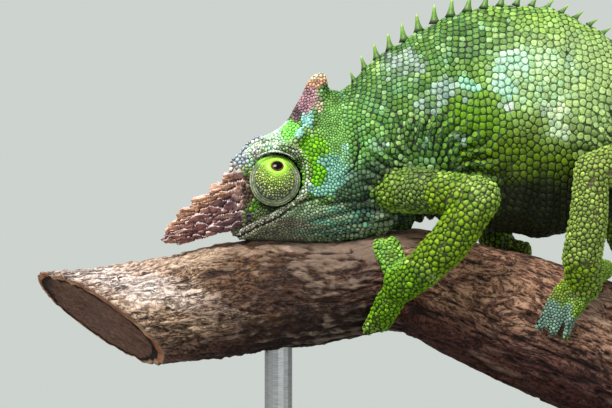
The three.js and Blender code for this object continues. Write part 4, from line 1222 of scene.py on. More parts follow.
coat_finish, tree, place = finish_of("scale_coat", 0.55, Specular_IOR_Level=0.2)
root, tone = attribute(tree, "root", "Vector"), attribute(tree, "tone")
own = blend_of(tree, 0.66, marked(tree, root), ramp(tree, tone, CHALK), "MULTIPLY")
own = blend_of(tree, attribute(tree, "ridge"), own, ramp(tree, tone, BRONZE))
bright = add(tree, "HueSaturation", {"Color": own, "Value": 1.62, "Saturation": 1.04}).outputs[0]
veins = grain(tree, place, 2300)
vein_tone = ramp(tree, veins, [(0.3, (148, 156, 148)), (0.5, (226, 226, 214)), (0.68, (255, 255, 250))])
bright = blend_of(tree, 0.7, bright, vein_tone, "MULTIPLY")
# Between the scales, low on each one, its own colour goes deep and dark as painted shade, warmer and paler on
# the limbs.
squared = blend_of(tree, 1.0, bright, bright, "MULTIPLY")
between = blend_of(tree, 0.3, blend_of(tree, 1.0, squared, (230, 226, 224), "MULTIPLY"), (22, 28, 12))
paler = blend_of(tree, 1.0, bright, (196, 200, 190), "MULTIPLY")
between = blend_of(tree, ramp(tree, bright, [(0.3, 0.0), (0.65, 0.6)]), between, paler)
root_height = sum_of(tree, "MULTIPLY_ADD", axis_of(tree, root, "Z"), 10.0, -0.3)
limb_gap = ramp(tree, root_height, [(0.46, (66, 84, 66)), (0.58, (150, 126, 120))])
between = blend_of(tree, attribute(tree, "limb"), between, blend_of(tree, 1.0, bright, limb_gap, "MULTIPLY"))
# Painted shade on each scale's lower sides, and a slightly darker top that leaves a painted highlight ring.
low_down = ramp(tree, attribute(tree, "rise"), [(0.1, 1.0), (0.5, 0.12), (0.75, 0.0), (1.0, 0.12)])
grit = grain(tree, place, 4200)
paint(tree, Base_Color=blend_of(tree, low_down, bright, between),
      Roughness=ramp(tree, grit, [(0.3, 0.46), (0.7, 0.66)]))
bump_of(tree, sum_of(tree, "ADD", grit, sum_of(tree, "MULTIPLY", veins, 2.0)), 0.5, 0.00012)

bronze_of = np.zeros(len(spot))
for name, wide, amount in (("brow", 0.75, 0.9), ("crest", 0.5, 0.9), ("upper_lip", 0.4, 0.85)):
    line = curve_at([stop[:3] for stop in RIDGES[name]], np.linspace(0, 1, 30))
    gap, share = distance_to(on_left(spot), line)
    wide = np.where((name == "brow") & (share > 0.5), 0.45, wide)  # the rim behind the eye is narrow
    fade = np.clip((wide + 0.45 - gap) / 0.45, 0, 1)
    bronze_of = np.maximum(bronze_of, amount * fade * chance.uniform(0.55, 1, len(spot)) * (spot[:, 0] < -30))
side_word = np.where(spot[:, 1] < 0, "left", "right")
limb_word = np.char.add(np.where(has(form, "arm"), "fore_limb_", "hind_limb_"), side_word)
trunk_word = np.char.add(np.where(spot[:, 0] < 6, "shoulder_", "hip_"), side_word)
trunk_word = np.where((form == "tail") & (spot[:, 0] > 48), "tail", trunk_word)
group = np.where(spot[:, 0] < -30.5, np.char.add("head_", side_word),
                 np.where(is_limb, limb_word, trunk_word))
for word in ("head_left", "head_right", "shoulder_left", "shoulder_right", "hip_left", "hip_right", "tail",
             "fore_limb_left", "fore_limb_right", "hind_limb_left", "hind_limb_right"):
    own = group == word
    coat_piece("scales_" + word, scale_shapes[own], flat_map[own], spot[own], root_uv[own], tone_with_fold_shade[own],
               bronze_of[own], coat_finish, limb[hide_near][own])


# ---- Eyes ----
# Each eye is a ball turret of lid skin that turns on its own, granular outside and folded at its base, with
# a smooth lime ring round one small opening. Inside sit a black pupil and a dark bronze iris, both wet.
OPENING = 1.27  # radius of the lid opening
LID = [
    (0.0, (44, 28, 20)), (0.2, (90, 60, 40)), (0.222, (206, 184, 140)), (0.245, (160, 208, 52)),
    (0.42, (146, 204, 54)), (0.56, (104, 146, 46)), (0.85, (80, 92, 60)), (1.1, (74, 74, 76))]
lid_finish, tree, place = finish_of("eyelid", 0.42)
fine = grain(tree, place, 1500, 3.0)
lime = ramp(tree, attribute(tree, "from_pupil"), LID)
above = ramp(tree, sum_of(tree, "MULTIPLY_ADD", axis_of(tree, place, "Z"), 100.0, -9.4),
             [(0.2, 1.0), (0.42, 0.12)])
at_base = sum_of(tree, "MULTIPLY", above, ramp(tree, attribute(tree, "from_axis"), [(0.72, 0.0), (0.8, 1.0)]))
lid_tone = blend_of(tree, at_base, lime, ramp(tree, fine, [(0.35, (120, 138, 92)), (0.65, (184, 196, 156))]))
# Painted shade in the troughs of the folds round the turret's base.
paint(tree, Base_Color=blend_of(tree, attribute(tree, "hollow"), lid_tone, (40, 42, 26)))
bump_of(tree, fine, 0.3, 0.0001)

eye_finish, tree, place = finish_of("wet_eye", 0.1, Specular_IOR_Level=0.25)
bronze = ramp(tree, grain(tree, place, 2600), [(0.3, (46, 26, 14)), (0.7, (108, 70, 30))])
at_iris = ramp(tree, attribute(tree, "from_pupil"), [(0.78, 0.0), (0.86, 1.0)])
paint(tree, Base_Color=blend_of(tree, at_iris, (4, 4, 7), bronze))

granule_finish, tree, place = finish_of("eye_granules", 0.4)
tone = attribute(tree, "tone")
green = ramp(tree, tone, [(0.0, (112, 146, 36)), (0.5, (164, 192, 60)), (1.0, (214, 228, 116))])
grey = ramp(tree, tone, [(0.0, (96, 104, 78)), (1.0, (158, 162, 134))])
own = blend_of(tree, attribute(tree, "ridge"), green, grey)
# Painted shade low on each granule and in the gaps between them.
between = ramp(tree, attribute(tree, "rise"), [(0.1, 0.95), (0.6, 0.0)])
paint(tree, Base_Color=blend_of(tree, between, own, (44, 46, 40)))
bump_of(tree, grain(tree, place, 5000), 0.2, 0.00005)

edge_finish, tree, place = finish_of("lid_edge", 0.5)
beads = add(tree, "TexVoronoi", {"Vector": place, "Scale": 2200.0}, feature="F1").outputs["Distance"]
paint(tree, Base_Color=ramp(tree, beads, [(0.1, (236, 240, 236)), (0.5, (206, 210, 200)),
                                          (0.8, (120, 120, 106))]))
bump_of(tree, beads, 0.5, -0.00012)

ROUND = 120  # points round a turret or an eyeball
EYE_INSIDE = 3.6  # how far from the middle of the eye the turret and eyeball are closed off inside
TURRET_DEEP = 5.0
a = turns_of(ROUND)


def cap_of(ring, middle, inwards):
    """Triangles between the ring of points that starts with the given one and a middle point."""
    fan = [[ring + i, ring + (i + 1) % ROUND, middle] for i in range(ROUND)]
    return [f[::-1] for f in fan] if inwards else fan


def on_cone(angle, turn):
    """The ways at an angle from the gaze, turned round it."""
    return np.cos(angle)[..., None] * gaze + np.sin(angle)[..., None] * (np.cos(turn)[..., None] * first
                                                                         + np.sin(turn)[..., None] * second)


for word, side, gaze in (("left", 1, (0.1, -0.81, 0.575)), ("right", -1, (-0.45, 0.87, 0.2))):
    centre, outward = EYE_CENTRE * [1, side, 1], np.array([0.0, -side, 0.0])
    gaze = unit(np.array(gaze))
    first = unit(np.cross(gaze, [0, 0, 1.0]))
    second = np.cross(gaze, first)
    polar = np.concatenate([np.linspace(0.16, 0.30, 8), np.linspace(0.32, 2.9, 110)])
    ways = on_cone(polar[:, None], a[None])
    side_on = np.where(ways @ outward < 0, 1.0, length(np.cross(ways, outward)))
    swell = 0.16 * np.exp(-((polar - 0.36) / 0.09) ** 2) - 0.9 * np.clip(0.29 - polar, 0, 1) / 0.13 * 0.55
    folds = np.where(side_on > 0.7, 0.22 * np.cos((side_on - 0.7) * 2 * math.pi / 0.082) - 0.08, 0)
    folds = folds * np.clip((0.66 - ways[..., 2]) * 5, 0, 1)
    size = EYE_RADIUS - 0.1 + swell[:, None] + folds
    points = (centre + ways * size[..., None]).reshape(-1, 3)
    last = len(points)
    points = np.concatenate([points, [centre + gaze * EYE_INSIDE, centre - gaze * TURRET_DEEP]])
    faces = ring_faces(len(polar), ROUND).tolist() + cap_of(0, last, True) + cap_of(last - ROUND, last + 1,
                                                                                    False)
    turret = mesh_of("eye_turret_" + word, points, faces, lid_finish)
    near_pupil = np.minimum(polar, 0.27)[:, None]
    upper = 1 - 0.75 * np.clip((ways[..., 2] - gaze[2] + 0.2) * 3.0, 0, 1)
    from_pupil = near_pupil + np.clip(polar - 0.27, 0, None)[:, None] * upper
    marks = {"from_pupil": from_pupil, "from_axis": side_on, "hollow": np.clip(-folds * 5, 0, 1)}
    store(turret.data, **{name: [*values.ravel(), values[0, 0], values[-1, -1]] for name,
                          values in marks.items()})
    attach(turret, "root")
    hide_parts("eye_" + word)

    # The eyeball's front: a dome that stands a little out of the opening.
    steps = np.linspace(0, 1, 16)[1:]
    reach, drop = 1.62 * steps, 0.62 * steps**2
    aside = np.cos(a)[:, None] * first + np.sin(a)[:, None] * second
    dome = centre + gaze * (EYE_RADIUS + 0.06 - drop)[:, None, None] + reach[:, None, None] * aside
    points = np.concatenate([dome.reshape(-1, 3), [centre + gaze * (EYE_RADIUS + 0.06),
                                                   centre + gaze * EYE_INSIDE]])
    last = len(steps) * ROUND
    faces = ring_faces(len(steps), ROUND).tolist() + cap_of(0, last, True) + cap_of(last - ROUND, last + 1,
                                                                                    False)
    ball = mesh_of("eyeball_" + word, points, faces, eye_finish)
    store(ball.data, from_pupil=np.concatenate([np.repeat(reach, ROUND), [0.0, 1.6]]) / OPENING)
    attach(ball, "root")

    # Granules in rings round the opening, larger and greyer towards the base.
    angle, ring_no, grains = 0.4, 0, []
    while angle < 1.9:
        pitch = 0.42 + 0.2 * min(1, (angle - 0.4) / 0.7)
        number = round(2 * math.pi * math.sin(angle) * EYE_RADIUS / pitch)
        b = (np.arange(number) + 0.5 * (ring_no % 2) + chance.normal(0, 0.22, number)) * 2 * math.pi / number
        wave = angle + 0.03 * np.sin(5 * b + ring_no) + chance.normal(0, 0.03, number)
        grains.append(np.concatenate([on_cone(wave, b), np.full((number, 1), pitch / 2)], 1))
        angle += pitch * 0.9 / EYE_RADIUS
        ring_no += 1
    grains = np.concatenate(grains)
    from_gaze = np.arccos(np.clip(grains[:, :3] @ gaze, -1, 1))
    from_side = length(np.cross(grains[:, :3], outward))
    keep = (from_side < 0.75 - 0.07 * (grains[:, 2] < 0)) & (grains[:, :3] @ outward > 0)
    keep &= from_gaze * (1 - 0.62 * np.clip((grains[:, 2] - gaze[2] + 0.06) * 3.6, 0, 1)) > 0.37
    grains, from_side = grains[keep], from_side[keep]
    way, half = grains[:, :3], grains[:, 3] * chance.uniform(0.7, 1.12, len(grains))
    spots, lead = centre + way * (EYE_RADIUS - 0.1), unit(np.cross(gaze, way))
    shapes, flat = raise_scales(spots, way, lead, neighbours_of(spots, 10), half, half * 0.8, fill=0.8)
    greyer = np.clip(0.35 - way[:, 2] * 0.9 + 0.35 * chance.uniform(-1, 1, len(way)), 0, 1)
    greyer = greyer * np.clip((from_side - 0.2) * 2, 0, 1)
    map_of = 0.5 + 0.46 * way[:, [0, 2]]
    coat_piece("eye_granules_" + word, shapes, flat, spots, map_of, chance.uniform(0, 1, len(way)), greyer,
               granule_finish)

    # The lid's pale edge: a thin fold of skin that arches over the turret under the brow.
    arch = np.linspace(math.radians(46), math.radians(128), 60)
    thick = 0.06 + 0.16 * np.sin(np.linspace(0, math.pi, 60))
    stops = np.stack([EYE_CENTRE[0] + 6.2 * np.cos(arch), side * (-8.6 - 0.5 * np.sin(arch)),
                      EYE_CENTRE[2] + 6.2 * np.sin(arch), thick], 1)
    at, _, normal, aside, across, deep = tube_frames(stops, [0, 1, 0], 90)
    b = turns_of(16)
    wide, high = (np.cos(b) * across[:, None])[..., None], 1.6 * (np.sin(b) * deep[:, None])[..., None]
    rings = at[:, None] + aside[:, None] * wide + normal[:, None] * high
    fold = mesh_of("lid_edge_" + word, rings.reshape(-1, 3), tube_faces(len(at), 16), edge_finish)
    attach(fold, "root")


# ---- Horns ----
# Two flat horns of bony core under thick overlapping scales, one on each side of the snout. Rows of blunt
# plates run from the root to the tip and end in steps along the upper edge.
HORN_UPPER = np.array([
    [-50.4, 105.0], [-52.6, 103.4], [-54.4, 101.0], [-56.0, 99.7], [-56.1, 98.0], [-57.4, 96.5],
    [-58.2, 94.9], [-60.1, 94.0], [-60.7, 92.6], [-62.4, 91.9], [-64.4, 91.3], [-64.7, 89.7], [-67.3, 88.6],
    [-67.6, 87.0], [-69.0, 85.9], [-70.3, 84.5], [-70.5, 83.3]])
HORN_LOWER = np.array([
    [-50.0, 86.0], [-54.4, 84.8], [-57.8, 83.8], [-61.0, 82.9], [-64.6, 82.0], [-67.8, 81.3],
    [-70.2, 81.7]])
horn_thickness = through([[0, 3.4], [0.5, 2.9], [1, 1.5]])
upper_run = run_along(HORN_UPPER)
upper_run /= upper_run[-1]
lower_knots = np.linspace(0, 1, len(HORN_LOWER))
lower_x, lower_z = [through(np.stack([lower_knots, part], 1)) for part in HORN_LOWER.T]


def horn_at(t, turn, shrink):
    """Points on the left horn: t runs from the root (0) to the tip, turn from the upper edge (0) round."""
    flat = 0 * t * turn
    top = np.stack([np.interp(t, upper_run, HORN_UPPER[:, 0]) + flat, flat,
                    np.interp(t, upper_run, HORN_UPPER[:, 1]) + flat], -1)
    low = np.stack([lower_x(t) + flat, flat, lower_z(t) + flat], -1)
    across = unit(top - low)
    inset = (shrink + flat)[..., None]
    top, low = top - across * inset, low + across * inset
    middle = (top + low) / 2
    point = middle + (top - low) * np.cos(turn)[..., None] / 2
    bulge = np.sign(np.sin(turn)) * np.abs(np.sin(turn)) ** 0.6
    point[..., 1] = -4.0 + 0.1 * (middle[..., 0] + 51.4) + bulge * (horn_thickness(t) / 2 - shrink * 0.6)
    return point


horn_finish, tree, place = finish_of("horn_plates", 0.55, Specular_IOR_Level=0.3)
x, z = axis_of(tree, place, "X"), axis_of(tree, place, "Z")
along_horn = sum_of(tree, "MULTIPLY_ADD", x, -48.0, -2.42)
# The height over the line where the tan upper tiers begin.
above_edge = sum_of(tree, "MULTIPLY_ADD", x, -0.585, sum_of(tree, "SUBTRACT", z, 0.1252))
lower = ramp(tree, along_horn, [(0.05, (104, 92, 104)), (0.3, (122, 92, 98)), (0.55, (146, 102, 98)),
                                (1.0, (166, 116, 98))])
upper = ramp(tree, along_horn, [(0.05, (160, 134, 132)), (0.3, (192, 156, 124)), (0.7, (214, 168, 120)),
                                (1.0, (216, 162, 112))])
upper_tiers = ramp(tree, sum_of(tree, "MULTIPLY_ADD", above_edge, 260.0, 0.5), [(0.2, 0.0), (0.8, 1.0)])
lengthwise = blend_of(tree, upper_tiers, lower, upper)
high = ramp(tree, sum_of(tree, "MULTIPLY_ADD", z, 200.0, -18.9), [(0.2, 0.0), (0.6, 0.85)])
frost = sum_of(tree, "MULTIPLY", high, ramp(tree, along_horn, [(0.3, 1.0), (0.38, 0.0)]))
lengthwise = blend_of(tree, frost, lengthwise, (150, 150, 164))
blotch = grain(tree, place, 420, 3.0, 0.6)
varied = blend_of(tree, ramp(tree, blotch, [(0.5, 0.0), (0.66, 0.75)]), lengthwise, (214, 186, 170))
varied = blend_of(tree, ramp(tree, blotch, [(0.32, 0.8), (0.45, 0.0)]), varied, (104, 66, 72))
plate_tone = ramp(tree, attribute(tree, "tone"), [(0.0, (156, 142, 148)), (0.5, (214, 206, 200)),
                                                  (1.0, (255, 246, 232))])
plate = blend_of(tree, 0.5, varied, plate_tone, "MULTIPLY")
streaks = grain(tree, place, (260, 1500, 1500), 5.0, 0.7, Turn=(0, math.radians(-13), 0), Bend=0.6)
streak_tone = ramp(tree, streaks, [(0.3, (128, 96, 98)), (0.5, (206, 188, 182)), (0.66, (244, 236, 230))])
streaked = blend_of(tree, 0.85, plate, streak_tone, "MULTIPLY")
bright = add(tree, "HueSaturation", {"Color": streaked, "Value": 1.62, "Saturation": 0.96}).outputs[0]
# Painted shade in the cracks and low parts of the plates.
between = ramp(tree, attribute(tree, "rise"), [(0.05, 0.85), (0.5, 0.0)])
shaded = blend_of(tree, between, bright, (84, 52, 58))
# Painted highlight: upward-facing parts of the plates are made pale, in blotches.
upness = axis_of(tree, add(tree, "NewGeometry").outputs["Normal"], "Z")
highlight_blotches = ramp(tree, blotch, [(0.35, 0.5), (0.6, 0.95)])
top_highlight = sum_of(tree, "MULTIPLY", ramp(tree, upness, [(0.18, 0.0), (0.62, 1.0)]), highlight_blotches)
paint(tree, Base_Color=blend_of(tree, top_highlight, shaded, (220, 204, 200)),
      Roughness=ramp(tree, streaks, [(0.3, 0.45), (0.7, 0.7)]))
bump_of(tree, sum_of(tree, "ADD", streaks, blotch), 0.8, 0.0003)

HORN_SIDES = 160
t = np.concatenate([np.linspace(0, 1, 300), [1.0, 1.0, 1.0]])
shrink = np.concatenate([np.full(300, 0.3), [0.55, 0.9, 1.2]])  # rounds the blunt tip
turn = turns_of(HORN_SIDES)
core = horn_at(t[:, None], turn[None], shrink[:, None])
core[-3:] += np.array([-0.18, -0.26, -0.3])[:, None, None] * [0.97, 0, 0.22]
core = np.concatenate([core[:1] + [4.5, 0, -1.5], core])
core_points = core.reshape(-1, 3)
core_faces = facing_out(core_points, tube_faces(len(core), HORN_SIDES))
core_ball = BVHTree.FromPolygons(core_points.tolist(), core_faces)
ahead, upward = np.array([-0.974, 0, -0.225]), np.array([-0.225, 0, 0.974])

# The plates lie in tiers, narrow and long below, broad above. Each is a cell of the surface that stands out
# most along its upper, forward edge and tucks under the next one behind it.
TIER_AT, TIER_HIGH = [0, 4, 9, 16], np.array([0.95, 1.05, 1.8, 2.1])
FACE_APART = 3.0  # keeps the cells of the horn's two faces from mixing
seeds, climb = [], -4.0
while climb < 24:
    tier = float(np.interp(climb, TIER_AT, TIER_HIGH))
    for step in range(-3, 14):
        for face in (-1, 1):
            seed_along = (step + chance.uniform(0, 0.7)) * (1.75 + 0.1 * tier)
            seeds.append([seed_along, climb + chance.uniform(-0.12, 0.12), FACE_APART * face])
    climb += tier
seeds = np.array(seeds)
cell_tree = tree_of(seeds)
outs = np.cross(np.gradient(core, axis=0), np.gradient(core, axis=1)).reshape(-1, 3)
outs = unit(outs)
centre_line = np.repeat(core.mean(1), HORN_SIDES, axis=0)
outs *= np.where(((core_points - centre_line) * outs).sum(1) < 0, -1, 1)[:, None]
apart = core_points - [-50.5, 0, 86.0]
along = (apart @ ahead + 0.9 * noise_at(core_points, (2.4, 2.4, 1.6), 4.0, 2)) / 1.75
over = apart @ upward + 0.55 * noise_at(core_points, (2.0, 2.0, 1.4), 14.0, 2)
face = np.copysign(FACE_APART, core_points[:, 1] - centre_line[:, 1])
found = [cell_tree.find_n(p, 2) for p in np.stack([along, over, face], 1).tolist()]
cell, beside = np.array([[f[0][1], f[1][1]] for f in found]).T
crack = np.array([f[1][2] - f[0][2] for f in found])
same_tier = np.abs(seeds[cell, 1] - seeds[beside, 1]) < 0.3
crack = np.where(same_tier, crack * 2.4 + 0.05, crack)
forward, over_cell = along - seeds[cell, 0], over - seeds[cell, 1]
tier_half = np.interp(seeds[cell, 1], TIER_AT, [0.5, 0.56, 0.95, 1.1])
plate_height = chance.uniform(-0.1, 0.14, len(seeds))[cell]
fibre = noise_at(core_points @ np.stack([ahead, [0, 1, 0], upward], 1), (3.4, 0.6, 0.36), 5.0, 3)
lifted = 0.42 * np.clip(over_cell / tier_half, -1, 1) * (0.5 + tier_half) + 0.2 * np.clip(forward, -1, 1)
stand = lifted + plate_height - 0.3 * np.exp(-(crack / 0.09) ** 2) + 0.34 * fibre
low_root = np.clip((core_points[:, 0] + 54.5) / 2.0, 0, 1)
high_root = np.clip((core_points[:, 0] + 58) / 1.5, 0, 1)
at_face = np.where(core_points[:, 2] < 97, low_root, high_root)
stand = stand * (1 - at_face) - 0.1 * at_face
core_points = core_points + outs * np.where(np.abs(outs[:, 1:2]) > 0.5, 1.0, 0.75) * stand[:, None]
core_rise = np.clip(0.5 + 0.9 * (stand - plate_height), 0, 1) * np.clip(crack / 0.16, 0.1, 1)
core_tone = chance.uniform(0, 1, len(seeds))[cell]

# Where the horn meets the brow, small pale scales like the face's own cover its upper root.
brow_seeds = []
for _ in range(9000):
    x, z, face = chance.uniform(-58, -47), chance.uniform(83, 107), chance.choice([-1, 1])
    hit, normal, _, _ = core_ball.find_nearest(Vector((x, -4.3 + 2.4 * face, z)))
    at_root = hit[0] > -57.2 and hit[2] > 97 or hit[0] > -53.4
    off_nostril = math.hypot(hit[0] - NOSTRIL[0], hit[2] - NOSTRIL[2]) > 1.0
    if at_root and hit[0] < -47 and off_nostril and all((hit - Vector(other[:3])).length > 0.64
                                                        for other in brow_seeds):
        brow_seeds.append([*hit, *normal])
brow_seeds = np.array(brow_seeds)
brow_half = chance.uniform(0.28, 0.47, len(brow_seeds))

nostril_finish, tree, place = finish_of("nostril", 0.6)
wrinkle = grain(tree, place, 2400, 3.0)
tone = ramp(tree, wrinkle, [(0.35, (66, 62, 54)), (0.65, (100, 92, 80))])
# Painted shade: the pit goes black towards its depth.
paint(tree, Base_Color=blend_of(tree, ramp(tree, attribute(tree, "depth"), [(0.1, 0.0), (0.4, 1.0)]), tone,
                                (12, 8, 8)))
bump_of(tree, wrinkle, 0.5, 0.0001)
PIT_SIDES = 28
PIT_REACH = np.array([0.84, 0.66, 0.5, 0.4, 0.31, 0.16])[:, None]  # each ring's half width
PIT_STAND = np.array([-0.3, 0.3, 0.44, 0.36, 0.2, 0.14])[:, None]  # and how far it stands out of the face

for word, side in (("left", 1), ("right", -1)):
    shell = mesh_of("horn_shell_" + word, core_points * [1, side, 1], core_faces, horn_finish)
    store(shell.data, rise=core_rise, tone=core_tone)
    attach(shell, "root")
    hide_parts("horn_" + word)
    patch_seeds = brow_seeds * [1, side, 1, 1, side, 1]
    at_brow, way = patch_seeds[:, :3], patch_seeds[:, 3:]
    lead = unit([0.6, 0.0, 0.8] - way * (way @ [0.6, 0.0, 0.8])[:, None])
    brow_shapes, brow_flat = raise_scales(at_brow, way, lead, neighbours_of(at_brow, 10), brow_half,
                                          brow_half * 0.8)
    brow_tone = chance.uniform(0, 1, len(brow_half))
    brow_bronze = np.where(chance.uniform(0, 1, len(brow_half)) < 0.1, 0.5, 0.0)
    coat_piece("scales_horn_root_" + word, brow_shapes, brow_flat, at_brow,
               0.5 + 0.025 * (at_brow[:, [0, 2]] - [-54, 100]), brow_tone, brow_bronze, coat_finish)

    # The nostril: a low ring of skin round a shallow pit painted black as shade, behind the root of the horn.
    b = turns_of(PIT_SIDES)
    seen_from = Vector((NOSTRIL[0], -20, NOSTRIL[2]))
    face_y = side * min(ball.ray_cast(seen_from, Vector((0, 1, 0)))[0][1] for ball in (hide_ball, core_ball))
    rings = np.stack([NOSTRIL[0] + PIT_REACH * np.cos(b) * 1.15, face_y - side * (PIT_STAND + 0 * b),
                      NOSTRIL[2] + PIT_REACH * np.sin(b)], -1)
    pit = mesh_of("nostril_" + word, rings.reshape(-1, 3), tube_faces(len(PIT_REACH), PIT_SIDES),
                  nostril_finish)
    store(pit.data, depth=np.repeat([0.0, 0.1, 0.3, 0.8, 1.0, 1.0], PIT_SIDES))
    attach(pit, "root")


# ---- Crest spines and claws ----
# A single row of soft cone-shaped spines stands along the back, longest over the shoulders. Every toe ends
# in a short hooked claw of dark horn. Both are slim cones set on the hide, so one tree of nodes makes them.
cones, inlet, outlet = group_of("cones_on_points", "Geometry",
                                {"Points": "Geometry", "Base Radius": "Float", "Sides": "Int",
                                 "Hollow": "Float", "Hook": "Float", "Finish": "Material"},
                                {"Geometry": "Geometry"})
cone = add(cones, "GeometryNodeMeshCone", {"Vertices": inlet["Sides"], "Side Segments": 5, "Radius Top": 0.05,
                                           "Radius Bottom": inlet["Base Radius"], "Depth": 1.0})
where = add(cones, "GeometryNodeInputPosition").outputs[0]
x, y, z = [axis_of(cones, where, axis) for axis in "XYZ"]
# Its sides are hollowed at half height, and its tip leans over along X.
hollowed = sum_of(cones, "MULTIPLY", sum_of(cones, "SINE", sum_of(cones, "MULTIPLY", z, math.pi)),
                  inlet["Hollow"])
thin = sum_of(cones, "SUBTRACT", 1.0, hollowed)
hook = sum_of(cones, "MULTIPLY", sum_of(cones, "POWER", z, 2.0), inlet["Hook"])
wide_x = sum_of(cones, "ADD", sum_of(cones, "MULTIPLY", x, thin), hook)
bent_to = add(cones, "CombineXYZ", {"X": wide_x, "Y": sum_of(cones, "MULTIPLY", y, thin), "Z": z}).outputs[0]
bent_cone = add(cones, "GeometryNodeSetPosition", {"Geometry": cone.outputs["Mesh"],
                                                   "Position": bent_to}).outputs[0]
marked_cone = add(cones, "GeometryNodeStoreNamedAttribute",
                  {"Geometry": bent_cone, "Name": "rise", "Value": z}, data_type="FLOAT",
                  domain="POINT").outputs[0]


def kept(name, kind):
    """What the points keep under a name."""
    return add(cones, "GeometryNodeInputNamedAttribute", {"Name": name}, data_type=kind).outputs[0]


turned_to = add(cones, "FunctionNodeAxesToRotation",
                {"Primary Axis": kept("aim", "FLOAT_VECTOR"),
                 "Secondary Axis": kept("hook_way", "FLOAT_VECTOR")}, primary_axis="Z",
                secondary_axis="X").outputs[0]
many = add(cones, "GeometryNodeInstanceOnPoints", {"Points": inlet["Points"], "Instance": marked_cone,
                                                   "Rotation": turned_to,
                                                   "Scale": kept("tall", "FLOAT")}).outputs[0]
real = add(cones, "GeometryNodeRealizeInstances", {"Geometry": many}).outputs[0]
smooth = add(cones, "GeometryNodeSetShadeSmooth", {"Geometry": real}).outputs[0]
dressed = add(cones, "GeometryNodeSetMaterial", {"Geometry": smooth, "Material": inlet["Finish"]}).outputs[0]
cones.links.new(dressed, outlet["Geometry"])


def cone_row(name, places, aims, hooks, heights, slot, **values):
    """Cones at the places as one plain mesh piece; the tree's inputs have underscores for spaces."""
    mesh = bpy.data.meshes.new(name + "_points")
    mesh.from_pydata((places * MM).tolist(), [], [])
    store(mesh, aim=aims, hook_way=hooks, tall=heights * MM)
    carrier = object_of(name + "_points", mesh)
    modifier = carrier.modifiers.new("cones", "NODES")
    modifier.node_group = cones
    for socket in cones.interface.items_tree:
        word = socket.name.replace(" ", "_")
        if socket.in_out == "INPUT" and word in values:
            modifier[socket.identifier] = values[word]
    real_mesh = bpy.data.meshes.new_from_object(carrier.evaluated_get(bpy.context.evaluated_depsgraph_get()))
    carrier.modifiers.remove(modifier)
    bpy.data.objects.remove(carrier)
    piece = object_of(name, real_mesh)
    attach(piece, "root")


def cone_finish(name, roughness, waves, detail, tones, share, relief):
    """A cone's finish: tones from its root to its tip under a fine lengthwise streak."""
    material, tree, place = finish_of(name, roughness)
    streak = grain(tree, place, waves, detail)
    tone = ramp(tree, attribute(tree, "rise"), tones)
    paint(tree, Base_Color=blend_of(tree, share, tone, ramp(tree, streak, [(0.3, 0.5), (0.7, 1.0)]),
                                    "MULTIPLY"))
    bump_of(tree, streak, *relief)
    return material


spine_finish = cone_finish("crest_spines", 0.5, 1400, 3.0,
                           [(0.0, (52, 74, 34)), (0.35, (92, 136, 40)), (0.75, (128, 176, 60)),
                            (1.0, (176, 202, 120))], 0.5, (0.4, 0.0001))
crest_tall = through([[-30, 1.6], [-26, 2.8], [-14, 3.5], [-2, 3.3], [8, 2.4], [25, 1.9], [48, 1.1]])
crest_gap = through([[-30, 2.4], [-22, 3.0], [-8, 3.6], [10, 3.2], [48, 2.2]])
xs, x = [], -29.5
while x < 48:
    xs.append(x)
    x += float(crest_gap(x))
xs = np.array(xs)
lean = -np.arctan(BACK(xs + 0.5) - BACK(xs - 0.5)) + 0.35
cone_row("crest_spines", np.stack([xs, 0 * xs, BACK(xs) - 0.5], 1),
         np.stack([np.sin(lean), 0 * xs, np.cos(lean)], 1), np.tile([1.0, 0, 0], (len(xs), 1)),
         crest_tall(xs) + 0.5, "scaly_skin", Base_Radius=0.33, Sides=16, Hollow=0.3, Hook=0.06,
         Finish=spine_finish)

claw_finish = cone_finish("claws", 0.35, 2500, 2.0,
                          [(0.2, (92, 84, 68)), (0.6, (60, 50, 40)), (1.0, (32, 26, 24))], 0.4,
                          (0.3, 0.00006))
tips, ways = np.array([root[0] for root in claw_roots]), np.array([root[1] for root in claw_roots])
inwards = np.stack([0 * tips[:, 0], -tips[:, 1], perch_height(tips[:, 0]) - tips[:, 2]], 1)
cone_row("claws", tips + ways * 0.5, ways, inwards, np.array([root[2] for root in claw_roots]), "horn_scales",
         Base_Radius=0.26, Sides=12, Hollow=0.1, Hook=0.34, Finish=claw_finish)


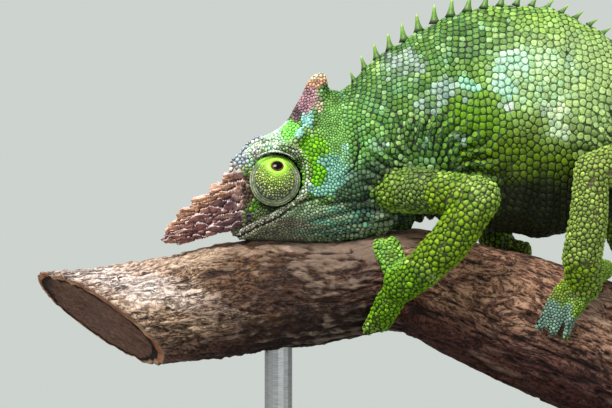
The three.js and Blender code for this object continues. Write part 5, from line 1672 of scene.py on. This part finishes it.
# ---- Floor, light and camera ----
# A wide pale paper floor under the stand that fades into an even pale surround, a large soft key lamp from
# the upper left, and a weak fill from the right.
SURROUND = (205, 211, 206)
FLOOR_RADIUS, FLOOR_SIDES = 3000, 96
turn = turns_of(FLOOR_SIDES)
points = np.stack([np.cos(turn), np.sin(turn), 0 * turn], 1) * FLOOR_RADIUS
points = np.concatenate([[(0, 0, 0)], points])
faces = np.array([[0, 1 + i, 1 + (i + 1) % FLOOR_SIDES] for i in range(FLOOR_SIDES)])
paper, tree, place = finish_of("pale_paper", 0.95)
paint(tree, Base_Color=ramp(tree, grain(tree, place, 900, 3.0),
                            [(0.3, (168, 172, 168)), (0.7, (177, 181, 176))]))
away = add(tree, "VectorMath", {0: place}, operation="LENGTH").outputs["Value"]
faded = add(tree, "MapRange", {"Value": away, "From Min": 0.16, "From Max": 0.34},
            interpolation_type="SMOOTHSTEP").outputs[0]
seen = sum_of(tree, "MULTIPLY", faded, add(tree, "LightPath").outputs["Is Camera Ray"])
surround = add(tree, "Emission", {"Color": SURROUND, "Strength": 1.0}).outputs[0]
paper_shader = tree.nodes["Principled BSDF"].outputs["BSDF"]
joined = add(tree, "MixShader", {0: seen, 1: paper_shader, 2: surround}).outputs[0]
tree.links.new(joined, tree.nodes["Material Output"].inputs["Surface"])
floor = mesh_of("paper_floor", points, faces, paper)

world = bpy.data.worlds.new("surround")
bpy.context.scene.world = world
world.use_nodes = True
tree = world.node_tree
lit = tree.nodes["Background"]
lit.inputs["Color"].default_value = (0.93, 0.97, 1.0, 1)
lit.inputs["Strength"].default_value = 0.34
plain = add(tree, "Background", {"Color": SURROUND, "Strength": 1.0}).outputs[0]
seen = add(tree, "LightPath").outputs["Is Camera Ray"]
joined = add(tree, "MixShader", {0: seen, 1: lit.outputs[0], 2: plain}).outputs[0]
tree.links.new(joined, tree.nodes["World Output"].inputs["Surface"])
for name, spot, aim, size, power in (("key", (-0.26, -0.36, 0.72), (-0.02, 0, 0.1), 0.34, 9.4),
                                     ("fill", (0.5, -0.62, 0.22), (0, 0, 0.09), 0.5, 1.7)):
    lamp = object_of(name, bpy.data.lights.new(name, "AREA"))
    lamp.data.size, lamp.data.energy = size, power
    lamp.location = spot
    lamp.rotation_euler = (Vector(aim) - Vector(spot)).to_track_quat("-Z", "Y").to_euler()

camera = object_of("camera", bpy.data.cameras.new("camera"))
camera.data.lens, camera.data.sensor_width = 100, 36
camera.location = (-0.040, -0.370, 0.090)
camera.rotation_euler = (math.radians(90), 0, 0)
bpy.context.scene.camera = camera
bpy.context.scene.view_settings.view_transform = "Standard"
